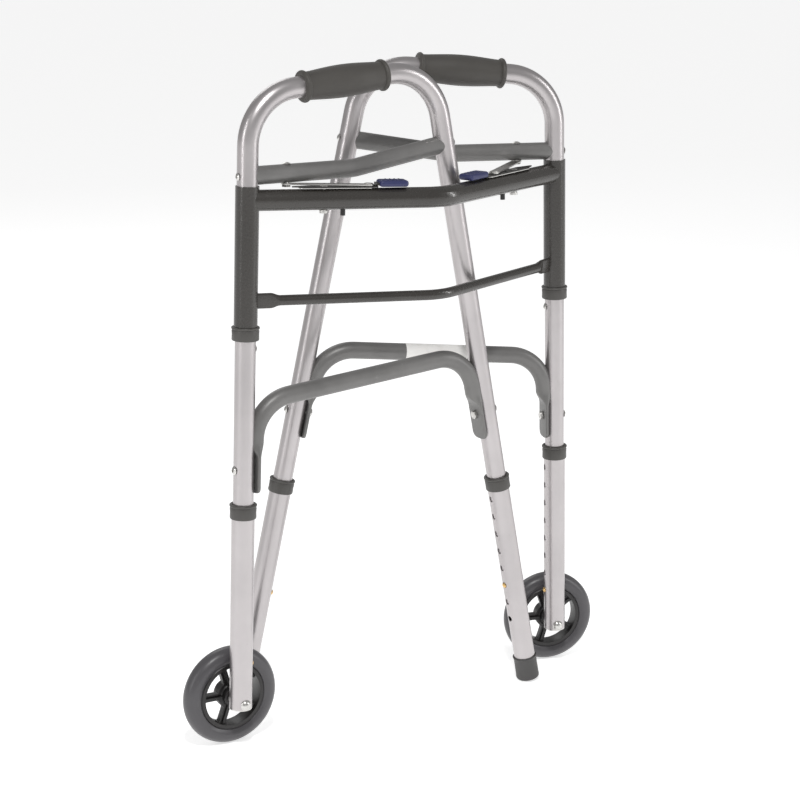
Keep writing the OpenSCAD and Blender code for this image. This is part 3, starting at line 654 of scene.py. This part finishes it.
def shift(x=0.0, y=0.0, z=0.0):
    return Matrix.Translation((x, y, z))


def turn(degrees, axis):
    return Matrix.Rotation(math.radians(degrees), 4, axis)


def on_rear_leg(z):
    """The point on the rear leg's axis at distance z up it, in the side frame's X and Z."""
    slope = rear_slope()
    return Vector((tubes().side_depth - z * math.sin(slope), z * math.cos(slope)))


def rear_in_side(side):
    """The rear leg's place, in the side frame's own axes."""
    return side_place(side).inverted() @ rear_place(side)


def handle_ends():
    """The handle's two corners, in the side frame's X and Z."""
    rise = math.tan(rear_slope() / 2)
    lean = math.tan(rear_slope())
    height = (tubes().handle_height + tubes().side_depth * rise) / (1 + lean * rise)
    return Vector((0, tubes().handle_height)), Vector((tubes().side_depth - height * lean, height))


def upper_brace_points():
    """The upper brace's line: up a little, then steeper after its bend."""
    rise, kick, lean = math.tan(math.radians(1.8)), math.tan(math.radians(11.2)), math.tan(rear_slope())
    bend = Vector((tubes().upper_brace_bend_x, tubes().upper_brace_h + tubes().upper_brace_bend_x * rise))
    height = (bend.y + (tubes().side_depth - bend.x) * kick) / (1 + lean * kick)
    return [Vector((0, tubes().upper_brace_h)), bend, Vector((tubes().side_depth - height * lean, height))]


def bar_half_span(height):
    """Middle to fold axis at a height along the axis."""
    left, right = side_place("left"), side_place("right")
    span = (right.translation - left.translation).length
    return span / 2 - height * math.sin(left.to_3x3().col[2].angle(Vector((0, 0, 1))))


def bow_place(height):
    """The plane that a crossbar is bent in, as X and Z."""
    left, right = side_place("left"), side_place("right")
    middle = (left.translation + right.translation) / 2
    rise = height * left.to_3x3().col[2].z
    return (Matrix.Translation(middle + Vector((0, 0, rise))) @ Matrix.Rotation(BOW_TILT, 4, "X")
            @ turn(-90, "X"))


def widened(by):
    """Moves the selected ring's two halves apart along Y."""
    mesh = bmesh.from_edit_mesh(bpy.context.object.data)
    ring = [vertex for vertex in mesh.verts if vertex.select]
    for vertex in ring:
        if abs(vertex.co.y) > HUNDREDTH:
            vertex.co.y += by if vertex.co.y > 0 else -by


def pressed(run, length, centre, sections):
    """Extrudes the selected ring along a run, through (place, radius, half gap) sections; the first one
    is the ring's own. Returns the centre of the last ring."""
    (_, radius, gap), *others = sections
    last = 0
    for place, next_radius, next_gap in others:
        grow(run * (place - last) * length)
        centre = centre + run * (place - last) * length
        widened(-gap)
        bpy.ops.transform.resize(value=(next_radius / radius,) * 3, center_override=centre)
        widened(next_gap)
        last, radius, gap = place, next_radius, next_gap
    return centre


def swage(round_r, flat_r, gap, steps=8):
    """Sections from round to flat, with a soft start and end."""
    eased = [(i / steps, (1 - math.cos(math.pi * i / steps)) / 2) for i in range(steps + 1)]
    return [(t, round_r + (flat_r - round_r) * e, gap * e) for t, e in eased]


def flat_ended_bar(name, points, bend, radius, flat, corner=0.0, sides=48):
    """A bent bar whose two ends are pressed flat: flat is (thickness, width, swage length, flat length)."""
    thick, width, swage_length, flat_length = flat
    points = [Vector((x, 0, z)) for x, z in points]
    runs = [(b - a).normalized() for a, b in zip(points, points[1:])]
    half = thick / 2
    gap = (width - thick) / 2
    down = swage(radius, half, gap)
    up = [(1 - t, r, g) for t, r, g in reversed(down)]
    if corner:
        rounding = [(t, corner * (1 - math.cos(math.asin(t)))) for t in (0, 0.3, 0.55, 0.75, 0.9, 1)]
        lead = [(i, half, gap - c) for i, c in ((1 - t, c) for t, c in reversed(rounding))]
        tail = [(t, half, gap - c) for t, c in rounding]
    trims = [0] + [bend * math.tan(a.angle(b) / 2) for a, b in zip(runs, runs[1:])] + [0]
    start_at = points[0] - runs[0] * (swage_length + flat_length)
    first_gap = gap - corner if corner else gap
    loop(sides, half, start_at, (0, math.atan2(runs[0].x, runs[0].z), 0))
    widened(first_gap)
    centre = start_at
    if corner:
        centre = pressed(runs[0], corner, centre, lead)
    centre = pressed(runs[0], flat_length - corner, centre, [(0, half, gap), (1, half, gap)])
    pressed(runs[0], swage_length, centre, up)
    for i, run in enumerate(runs):
        grow(run * ((points[i + 1] - points[i]).length - trims[i] - trims[i + 1]))
        if i + 1 < len(runs):
            angle = run.angle(runs[i + 1])
            axis = run.cross(runs[i + 1]).normalized()
            bend_centre = points[i + 1] - run * trims[i + 1] + axis.cross(run) * bend
            bpy.ops.mesh.spin(steps=max(4, round(math.degrees(angle) / 4)), angle=-angle,
                              center=bend_centre, axis=axis)
    centre = pressed(runs[-1], swage_length, points[-1], down)
    centre = pressed(runs[-1], flat_length - corner, centre, [(0, half, gap), (1, half, gap)])
    if corner:
        pressed(runs[-1], corner, centre, tail)
    close_up()
    return named(name, 50)


# ---- Tubes ----

def make_side_tubes():
    """Both side frames' handle-and-leg tubes, bored, with a hole for each snap button."""
    radius = tubes().leg_d / 2
    corner, rear_corner = handle_ends()
    line = [Vector((0, BUTTON_Z["front"] - TUBE_TAIL)), corner, rear_corner,
            on_rear_leg(BUTTON_Z["rear"] - TUBE_TAIL)]
    for side in SIDES:
        piece = bent_bar(side + "_frame_tube", line, tubes().handle_bend, radius, sides=56,
                         wall=TUBE_WALL)
        cut(piece, rod(BUTTON_HOLE_R, 2 * radius, shift(z=BUTTON_Z["front"]) @ turn(90, "Y")))
        cut(piece, rod(BUTTON_HOLE_R, 2 * radius,
                       rear_in_side(side) @ shift(z=BUTTON_Z["rear"]) @ turn(-90, "Y")))
        finish_piece(named_again(put(piece, side_place(side))), side + "_side", "satin_aluminium",
                     "satin_aluminium", side + "_side_tube")


def leg_rods(side):
    """Rods where the two legs stand, which braces are coped against."""
    radius = tubes().leg_d / 2 + SEAT
    return [rod(radius, 1.0), rod(radius, 1.0, rear_in_side(side))]


def make_upper_braces():
    """The bent braces under the handles, coped to the legs."""
    for side in SIDES:
        piece = bent_bar(side + "_handle_brace", upper_brace_points(), 0.090, tubes().brace_d / 2,
                         wall=BRACE_WALL)
        for leg in leg_rods(side):
            cut(piece, leg)
        finish_piece(named_again(put(piece, side_place(side))), side + "_side", "brace_paint",
                     "brace_paint", side + "_upper_brace")


def make_lower_braces():
    """The upside-down U braces, with ends pressed flat against the legs."""
    size_of = tubes()
    slope, rise = rear_slope(), rear_slope() / 2
    out = size_of.leg_d / 2 + SEAT + size_of.flat_thick / 2
    rear_line = size_of.side_depth - out / math.cos(slope)
    corner_x = ((rear_line - size_of.lower_brace_h * math.tan(slope))
                / (1 + math.tan(rise) * math.tan(slope)))
    corner = Vector((corner_x, size_of.lower_brace_h + math.tan(rise) * corner_x))
    front_corner = Vector((out, size_of.lower_brace_h + math.tan(rise) * out))
    reach = size_of.lower_brace_bend * math.tan((math.pi / 2 - rise) / 2)
    front_top = front_corner.y - reach - 0.001
    rear_top = corner.y / math.cos(slope) - reach - 0.004
    inward = Vector((math.cos(slope), math.sin(slope))) * out
    for side in SIDES:
        line = [Vector((out, front_top)), front_corner, corner, on_rear_leg(rear_top) - inward]
        swage_length = 0.020
        flat_length = front_top - size_of.front_flat_end - swage_length
        piece = flat_ended_bar(side + "_leg_brace", line, size_of.lower_brace_bend,
                               size_of.brace_d / 2,
                               (size_of.flat_thick, size_of.flat_width, swage_length, flat_length),
                               corner=0.008)
        finish_piece(put(piece, side_place(side)), side + "_side", "brace_paint", "brace_paint",
                     side + "_lower_brace")


def bar_line(height):
    half = bar_half_span(height)
    return [Vector((-half, 0)), Vector((0, -tubes().bar_bow)), Vector((half, 0))]


def sleeve_rods():
    """Rods where the fold sleeves stand, which crossbars are coped against."""
    return [rod(SLEEVE_R, 1.0, side_place(side)) for side in SIDES]


def make_crossbars():
    """The two bowed crossbars: the upper one round, the lower one with flat ends."""
    upper = bent_bar("bowed_upper_crossbar", bar_line(tubes().upper_bar_h), tubes().bar_bend,
                     tubes().upper_bar_d / 2, sides=56, ends=(-0.006, -0.006))
    put(upper, bow_place(tubes().upper_bar_h))
    for sleeve in sleeve_rods():
        cut(upper, sleeve)
    finish_piece(named_again(upper), "front_frame", "dark_paint", "dark_paint", "upper_crossbar")

    swage_length, flat_length, hidden = 0.012, 0.022, 0.008
    line = bar_line(tubes().lower_bar_h)
    for end, inner in ((0, 1), (2, 1)):
        towards = (line[inner] - line[end]).normalized()
        line[end] = line[end] + towards * (swage_length + flat_length + hidden)
    lower = flat_ended_bar("bowed_lower_crossbar", line, tubes().bar_bend, tubes().lower_bar_d / 2,
                           (0.005, 0.019, swage_length, flat_length))
    put(lower, bow_place(tubes().lower_bar_h))
    for sleeve in sleeve_rods():
        cut(lower, sleeve)
    finish_piece(named_again(lower), "front_frame", "dark_paint", "dark_paint", "lower_crossbar")


# ---- Grips, collars and tips ----

def make_grips():
    """The hand grips: a swelling belly between two narrow necks, with a rounded bead at each end."""
    size_of = fittings()
    length, bead, neck = size_of.grip_length, size_of.grip_bead_d / 2, size_of.grip_neck_d / 2
    belly, inside, bead_r = size_of.grip_belly_d / 2, tubes().leg_d / 2 + SEAT, 0.0031
    end = [(0.0, inside), (0.0, bead - bead_r)]
    end += arc_steps((bead_r, bead - bead_r), bead_r, -80, 80, 10)
    start_z = 2 * bead_r + 0.0024
    waves = 36
    body = [(start_z + (length - 2 * start_z) * i / waves,
             neck + (belly - neck) * math.sin(math.pi * i / waves) ** 1.25) for i in range(waves + 1)]
    profile = end + body + [(length - z, r) for z, r in reversed(end)]
    for side in SIDES:
        corner, rear_corner = handle_ends()
        handle = (rear_corner - corner).length
        place = (side_place(side) @ shift(z=tubes().handle_height)
                 @ turn(90 - math.degrees(rear_slope() / 2), "Y") @ shift(z=(handle - length) / 2))
        piece = put(turned(side + "_hand_grip", profile, 72, hollow=True, smooth=50), place)
        finish_piece(piece, side + "_side", "grip_vinyl", "grip_vinyl", side + "_grip")


def collar_profile(length, outer, inner, seat_r):
    """A cup collar with a rounded, slightly flared upper lip."""
    lip = 0.0016
    profile = [(0.0, seat_r), (0.0, outer - 0.0018), (0.0003, outer - 0.0010), (0.0012, outer - 0.0006)]
    profile += [(length * 0.45, outer - 0.0008), (length - 3.4 * lip, outer - 0.0005)]
    profile += arc_steps((length - lip, outer - lip), lip, -75, 90, 9)
    profile += [(length, inner + 0.0009), (length - 0.0007, inner + 0.0001), (length - 0.003, inner)]
    return profile if seat_r == inner else profile + [(length - 0.0031, seat_r)]


def make_collars():
    """The collars on the four leg extensions and the two below the fold sleeves."""
    tube_r = tubes().leg_d / 2
    leg_collar = turned("leg_collar", collar_profile(0.0182, fittings().collar_d / 2, tube_r + 0.0003,
                                                     EXTENSION_R + SEAT), 72, hollow=True)
    thrust = turned("thrust_collar", collar_profile(0.0167, 0.0172, tube_r + SEAT, tube_r + SEAT),
                    72, hollow=True)
    for side in SIDES:
        places = {
            "front": side_place(side) @ shift(z=COLLAR_TOP["front"] - 0.0182),
            "rear": rear_place(side) @ shift(z=COLLAR_TOP["rear"] - 0.0182),
        }
        for leg, place in places.items():
            piece = copied(leg_collar, f"{side}_{leg}_leg_collar", place)
            finish_piece(piece, f"{side}_{leg}_leg", "grey_plastic", "grey_plastic",
                         f"{side}_{leg}_collar")
        piece = copied(thrust, side + "_thrust_collar", side_place(side) @ shift(z=0.542 - 0.0003 - 0.0167))
        finish_piece(piece, side + "_side", "grey_plastic", "grey_plastic", side + "_sleeve_collar")
    for pattern in (leg_collar, thrust):
        bpy.data.objects.remove(pattern)


def make_tips():
    """The two rubber tips, with a ringed sole and a thin upper lip."""
    outer, length, sole = fittings().tip_d / 2, 0.034, 0.007
    groove = 0.0009
    profile = [(groove, 0.0035), (0, 0.0041), (0, 0.0066), (groove, 0.0072), (groove, 0.0092),
               (0, 0.0098), (0, 0.0122)]
    profile += arc_steps((0.0030, outer - 0.0036), 0.0030, -85, 0, 7)
    profile += [(0.012, outer - 0.0008), (length - 0.0042, outer - 0.0010), (length - 0.0034, outer - 0.0006)]
    profile += arc_steps((length - 0.0014, outer - 0.0014), 0.0014, -50, 85, 7)
    profile += [(length - 0.0004, EXTENSION_R + 0.0004), (length - 0.0012, EXTENSION_R + SEAT),
                (sole, EXTENSION_R + SEAT)]
    pattern = turned("rubber_tip", profile, 72)
    for side in SIDES:
        sole_z = (Vector(MOUNTS[side + "_rear_tip_sole"]["pos_m"]) - rear_place(side).translation).length
        piece = copied(pattern, side + "_rubber_tip", rear_place(side) @ shift(z=sole_z))
        finish_piece(piece, side + "_rear_leg", "grey_rubber", "grey_rubber", side + "_rear_tip")
    bpy.data.objects.remove(pattern)


# ---- Wheels ----

def make_tyres():
    """The solid tyres, with a rounded tread and softened shoulders."""
    size_of = wheels()
    outer, inner, half = size_of.wheel_d / 2, size_of.rim_d / 2 + SEAT, size_of.tyre_width / 2
    crown = 0.0130
    profile = [(-half + 0.0035, inner), (-half + 0.0025, inner + 0.0012), (-half + 0.0012, inner + 0.004)]
    arc = arc_steps((0, 0), 1, -90, 90, 28)
    profile += [(half * z, outer - crown + crown * max(0.0, r) ** 0.9) for z, r in arc]
    profile += [(-z, r) for z, r in reversed(profile[:3])]
    pattern = turned("tyre", profile, 96, hollow=True, smooth=60)
    for side in SIDES:
        piece = copied(pattern, side + "_solid_tyre", wheel_place(side))
        finish_piece(piece, side + "_wheel", "tyre_rubber", "tyre_rubber", side + "_tyre")
    bpy.data.objects.remove(pattern)


def window(inner, outer, half_height, pitch, spoke, corner):
    """A tool for one wheel window: a rectangle spun about the axle, cut back to half a spoke at each
    end, with its upright edges rounded."""
    start()
    bpy.ops.mesh.primitive_plane_add(size=1, location=((inner + outer) / 2, 0, 0),
                                     rotation=(math.pi / 2, 0, 0))
    bpy.context.object.scale = (outer - inner, 2 * half_height, 1)
    bpy.ops.object.transform_apply(location=True, rotation=True, scale=True)
    tool = bpy.context.object
    bpy.ops.object.mode_set(mode="EDIT")
    bpy.ops.mesh.select_all(action="SELECT")
    bpy.ops.mesh.spin(steps=16, angle=-math.radians(pitch), center=(0, 0, 0), axis=(0, 0, 1))
    bpy.ops.mesh.select_all(action="SELECT")
    bpy.ops.mesh.normals_make_consistent(inside=False)
    bpy.ops.object.mode_set(mode="OBJECT")
    for angle in (0, pitch):
        bar = block((0, -spoke / 2, -2 * half_height), (2 * outer, spoke / 2, 2 * half_height))
        cut(tool, put(bar, turn(angle, "Z")))
    bpy.ops.object.mode_set(mode="EDIT")
    bpy.ops.mesh.select_all(action="DESELECT")
    mesh = bmesh.from_edit_mesh(tool.data)
    for edge in mesh.edges:
        low, high = edge.verts
        upright = (low.co - high.co).xy.length < HUNDREDTH
        edge.select_set(upright and edge.calc_face_angle(0) > math.radians(40))
    bmesh.update_edit_mesh(tool.data)
    bpy.ops.mesh.bevel(offset=corner, segments=5, affect="EDGES")
    bpy.ops.object.mode_set(mode="OBJECT")
    return tool


def make_wheel_centres():
    """The moulded wheel centres: rim, hub, a web with rounded windows, and a rib along each spoke."""
    size_of = wheels()
    outer, width, half = size_of.rim_d / 2, 0.021, 0.013
    bore, hub = size_of.bore_d / 2, size_of.hub_d / 2
    centre = turned("wheel_centre", [
        (-width / 2, outer - 0.0055), (-width / 2, outer - 0.0010), (-width / 2 + 0.0010, outer),
        (width / 2 - 0.0010, outer), (width / 2, outer - 0.0010), (width / 2, outer - 0.0045),
        (width / 2 - 0.0010, outer - 0.0058), (0.0045, outer - 0.0064), (0.0038, outer - 0.0080),
        (0.0038, hub + 0.0056), (0.0048, hub + 0.0046), (0.0104, hub + 0.0044), (0.0110, hub + 0.0038),
        (0.0110, hub - 0.0004), (half - 0.0006, hub - 0.0010), (half, hub - 0.0018), (half, bore + 0.0006),
        (half - 0.0006, bore), (-half, bore), (-half, hub - 0.0016), (-half + 0.0006, hub - 0.0006),
        (-0.0050, hub), (-0.0038, hub + 0.0014), (-0.0038, outer - 0.0080), (-0.0045, outer - 0.0064),
    ], 80, hollow=True)
    pitch = 360 / size_of.spokes
    tool = window(hub + 0.0050, outer - 0.0062, 0.02, pitch, 0.0092, 0.0040)
    for i in range(size_of.spokes):
        cut(centre, copied(tool, "window", turn(i * pitch, "Z")))
    bpy.data.objects.remove(tool)
    for i in range(size_of.spokes):
        rib = block((hub - 0.002, -0.0012, -0.0062), (outer - 0.005, 0.0012, 0.0062))
        modified(rib, "BEVEL", width=0.0005, segments=2)
        fused(centre, put(rib, turn(i * pitch, "Z")))
    named_again(centre)
    for side in SIDES:
        piece = copied(centre, side + "_spoked_centre", wheel_place(side) @ turn(90, "Z"))
        finish_piece(piece, side + "_wheel", "black_plastic", "black_plastic", side + "_wheel_centre")
    bpy.data.objects.remove(centre)


# ---- Fold locks ----

def make_paddles():
    """The palm paddles: rounded pads with four low ridges across the top."""
    length, width, thick = 0.036, 0.022, 0.008
    level = 0.7075 + 0.004 + 0.00065
    pad = block((0, -width / 2, -thick / 2), (length, width / 2, thick / 2))
    pad = modified(pad, "BEVEL", width=0.0034, segments=5, limit_method="NONE")
    for i in range(4):
        x = 0.0095 + i * 0.0056
        ridge = block((x, -width / 2 + 0.004, thick / 2 - 0.001), (x + 0.0022, width / 2 - 0.004, thick / 2 + 0.0006))
        fused(pad, modified(ridge, "BEVEL", width=0.0005, segments=2))
    for side in SIDES:
        piece = copied(pad, side + "_palm_paddle", bar_place(side) @ shift(0.160, 0, level))
        finish_piece(named_again(piece), side + "_lever", "navy_plastic", "navy_plastic", side + "_paddle")
    bpy.data.objects.remove(pad)


# ---- Fasteners ----

def domed_head(diameter, height, shank, reach):
    """A domed screw head with a cross recess, and its shank, along +Z from the head's underside."""
    radius = diameter / 2
    dome_r = (radius ** 2 + height ** 2) / (2 * height)
    rim = 0.0004
    steps = 8
    profile = [(reach, shank), (0.0, shank), (0.0, radius - rim), (-rim, radius)]
    for i in range(1, steps):
        z = -rim - (height - rim) * i / steps
        profile.append((z, math.sqrt(max(dome_r ** 2 - (z + height - dome_r) ** 2, 0)) * 0.99))
    profile.append((-height, radius * 0.12))
    head = turned("screw_head", profile, 40)
    arm, slot_w, deep = radius * 0.52, radius * 0.16, height * 0.62
    for flip in (0, 90):
        slot = block((-arm, -slot_w, -height - 0.001), (arm, slot_w, -height + deep))
        cut(head, put(slot, turn(flip, "Z")))
    return head


def hex_nut(across, height, bore):
    """A hexagon nut from z = 0 up, with its corners turned off."""
    nut = turned("nut", [(0, bore), (0, across * 0.5), (height * 0.12, across / math.sqrt(3)),
                         (height * 0.88, across / math.sqrt(3)), (height, across * 0.5), (height, bore)],
                 6, hollow=True, smooth=20)
    return modified(nut, "BEVEL", width=0.0003, segments=2)


def make_frame_screws():
    """The cross-recessed screws and the brace bolts of both side frames."""
    leg_r = tubes().leg_d / 2
    points = upper_brace_points()
    stop_h = 0.542 - 0.0003 - 0.0167 - 0.011
    screw = domed_head(fittings().screw_d, 0.0024, 0.0025, 0.036)
    short = domed_head(fittings().screw_d, 0.0024, 0.0025, 0.006)
    bolt = domed_head(fittings().bolt_d, 0.0030, 0.0030, 0.0338)
    nut = hex_nut(0.010, 0.0045, 0.0030)
    for side in SIDES:
        base = side_place(side)
        front = base @ shift(z=points[0].y) @ turn(90 - 1.8, "Y")
        rear = base @ shift(points[2].x, 0, points[2].y) @ turn(-90 - 11.2, "Y")
        stop = base @ shift(leg_r + SEAT, 0, stop_h) @ turn(-90, "Y")
        parts = [copied(screw, "screw", place @ shift(z=-leg_r - SEAT)) for place in (front, rear)]
        parts.append(copied(short, "screw", stop))
        finish_piece(joined(side + "_frame_screws", parts), side + "_side", "zinc_plate", "zinc_plate",
                     side + "_screws")
        low_front = base @ shift(z=0.3645) @ turn(90, "Y")
        low_rear = rear_place(side) @ shift(z=0.413) @ turn(-90, "Y")
        parts = []
        for place in (low_front, low_rear):
            parts.append(copied(bolt, "bolt", place @ shift(z=-leg_r - SEAT)))
            parts.append(copied(nut, "nut", place @ shift(z=leg_r + 2 * SEAT + tubes().flat_thick)))
        finish_piece(joined(side + "_leg_brace_bolts", parts), side + "_side", "zinc_plate",
                     "zinc_plate", side + "_brace_bolts")
    for pattern in (screw, short, bolt, nut):
        bpy.data.objects.remove(pattern)


def finish_nodes():
    """Gives each node of the packed frame the finish of its slot."""
    for name, node in frame["nodes"].items():
        node.data.materials.clear()
        node.data.materials.append(bpy.data.materials[NODE_FINISH[name] + FINISH_ENDING])


# ---- Stage ----

CAMERA_AT = Vector((-1.37335, -2.01349, 1.029))
CAMERA_LOOK = Vector((0.54924, 0.79836, -0.24687))
CAMERA_ROLL = 0.298
CAMERA_LENS = 87.34


def add_camera():
    look = CAMERA_LOOK.normalized()
    level = look.cross(Vector((0, 0, 1))).normalized()
    lift = level.cross(look)
    roll = math.radians(CAMERA_ROLL)
    right = level * math.cos(roll) + lift * math.sin(roll)
    up = lift * math.cos(roll) - level * math.sin(roll)
    camera = bpy.data.objects.new("camera", bpy.data.cameras.new("camera"))
    bpy.context.scene.collection.objects.link(camera)
    camera.matrix_world = (Matrix.Translation(CAMERA_AT)
                           @ Matrix((right, up, -look)).transposed().to_4x4())
    camera.data.lens = CAMERA_LENS
    camera.data.sensor_width = 36
    camera.data.clip_end = 50
    bpy.context.scene.camera = camera


def add_light(name, at, towards, width, power, height=None):
    data = bpy.data.lights.new(name, "AREA")
    data.shape = "RECTANGLE"
    data.size, data.size_y = width, height or width
    data.energy = power
    light = bpy.data.objects.new(name, data)
    bpy.context.scene.collection.objects.link(light)
    at = Vector(at)
    light.matrix_world = Matrix.Translation(at) @ (Vector(towards) - at).to_track_quat("-Z", "Y").to_matrix().to_4x4()


def light_room(tree, backdrop, room):
    """A white backdrop to look at, and a dimmer room to be reflected."""
    background, rays = tree.nodes["Background"], tree.nodes.new("ShaderNodeLightPath")
    strength = tree.nodes.new("ShaderNodeMapRange")
    strength.inputs["To Min"].default_value = room
    strength.inputs["To Max"].default_value = backdrop
    tree.links.new(rays.outputs["Is Camera Ray"], strength.inputs["Value"])
    tree.links.new(strength.outputs[0], background.inputs["Strength"])
    background.inputs["Color"].default_value = (1, 1, 1, 1)


def make_stage():
    start()
    bpy.ops.mesh.primitive_plane_add(size=40, location=(0, 0, 0))
    floor = bpy.context.object
    floor.name = floor.data.name = "studio_floor"
    sheet = Sheet("studio_floor")
    floor.data.materials.append(sheet.surface(Base_Color=(0.93, 0.93, 0.93), Roughness=0.7,
                                              Specular_IOR_Level=0.1,
                                              Emission_Color=(1, 1, 1), Emission_Strength=0.56))
    world = bpy.data.worlds.new("studio")
    world.use_nodes = True
    bpy.context.scene.world = world
    light_room(world.node_tree, 1.05, 0.38)
    add_light("key", (-1.0, -1.4, 2.6), (0, 0, 0.4), 0.22, 30)
    add_light("left", (-2.9, -0.2, 1.3), (0, 0, 0.5), 0.16, 12, 1.8)
    add_light("right", (2.2, -1.9, 1.4), (0, 0, 0.5), 0.25, 20, 2.0)
    add_light("back", (0.6, 3.0, 2.6), (0, 0, 0.4), 1.5, 14)
    add_camera()
    bpy.context.scene.view_settings.view_transform = "Standard"


# ---- Operators, one for each piece or group of like pieces ----

def operator(name, label, about, work):
    """An operator class that does one piece of work."""

    def execute(self, context):
        work()
        return {"FINISHED"}

    return type("WALKER_OT_" + name, (bpy.types.Operator,),
                {"bl_idname": "walker." + name, "bl_label": label, "__doc__": about,
                 "bl_options": {"REGISTER", "UNDO"}, "execute": execute})


STEPS = [
    ("finishes", "Finishes", "Write every finish", make_finishes),
    ("nodes", "Carried-over parts", "Give the frame's own parts their finishes", finish_nodes),
    ("side_tubes", "Side tubes", "Bend and bore the two handle-and-leg tubes", make_side_tubes),
    ("upper_braces", "Upper braces", "Bend and cope the braces under the handles", make_upper_braces),
    ("lower_braces", "Lower braces", "Bend the U braces and press their ends flat", make_lower_braces),
    ("crossbars", "Crossbars", "Bend the two bowed crossbars", make_crossbars),
    ("grips", "Hand grips", "Turn the two hand grips", make_grips),
    ("collars", "Collars", "Turn the leg and thrust collars", make_collars),
    ("tips", "Rubber tips", "Turn the two rubber tips", make_tips),
    ("tyres", "Tyres", "Turn the two tyres", make_tyres),
    ("wheel_centres", "Wheel centres", "Mould the two wheel centres", make_wheel_centres),
    ("paddles", "Palm paddles", "Mould the two palm paddles", make_paddles),
    ("frame_screws", "Screws and bolts", "Set the screws and bolts of the side frames", make_frame_screws),
    ("stage", "Stage", "Lay the floor and set the lights and the camera", make_stage),
]
OPERATORS = [operator(*step) for step in STEPS]


class WALKER_PT_build(bpy.types.Panel):
    """Builds the walking frame step by step"""
    bl_idname = "WALKER_PT_build"
    bl_label = "Walking frame"
    bl_space_type = "VIEW_3D"
    bl_region_type = "UI"
    bl_category = "Walking frame"

    def draw(self, context):
        scene = context.scene
        for group in (scene.walker_tubes, scene.walker_fittings, scene.walker_wheels,
                      scene.walker_finishes):
            box = self.layout.box()
            for key in group.bl_rna.properties.keys():
                if key not in ("rna_type", "name"):
                    box.prop(group, key)
        for step in OPERATORS:
            self.layout.operator(step.bl_idname)


GROUPS = {"walker_tubes": TubeSizes, "walker_fittings": FittingSizes, "walker_wheels": WheelSizes,
          "walker_finishes": Finishes}


def register():
    for group in GROUPS.values():
        bpy.utils.register_class(group)
    for key, group in GROUPS.items():
        setattr(bpy.types.Scene, key, bpy.props.PointerProperty(type=group))
    for made in (*OPERATORS, WALKER_PT_build):
        bpy.utils.register_class(made)


def unregister():
    for made in reversed((*OPERATORS, WALKER_PT_build)):
        bpy.utils.unregister_class(made)
    for key in GROUPS:
        delattr(bpy.types.Scene, key)
    for group in reversed(tuple(GROUPS.values())):
        bpy.utils.unregister_class(group)


def main():
    register()
    for step in STEPS:
        getattr(bpy.ops.walker, step[0])()


if __name__ == "__main__":
    main()
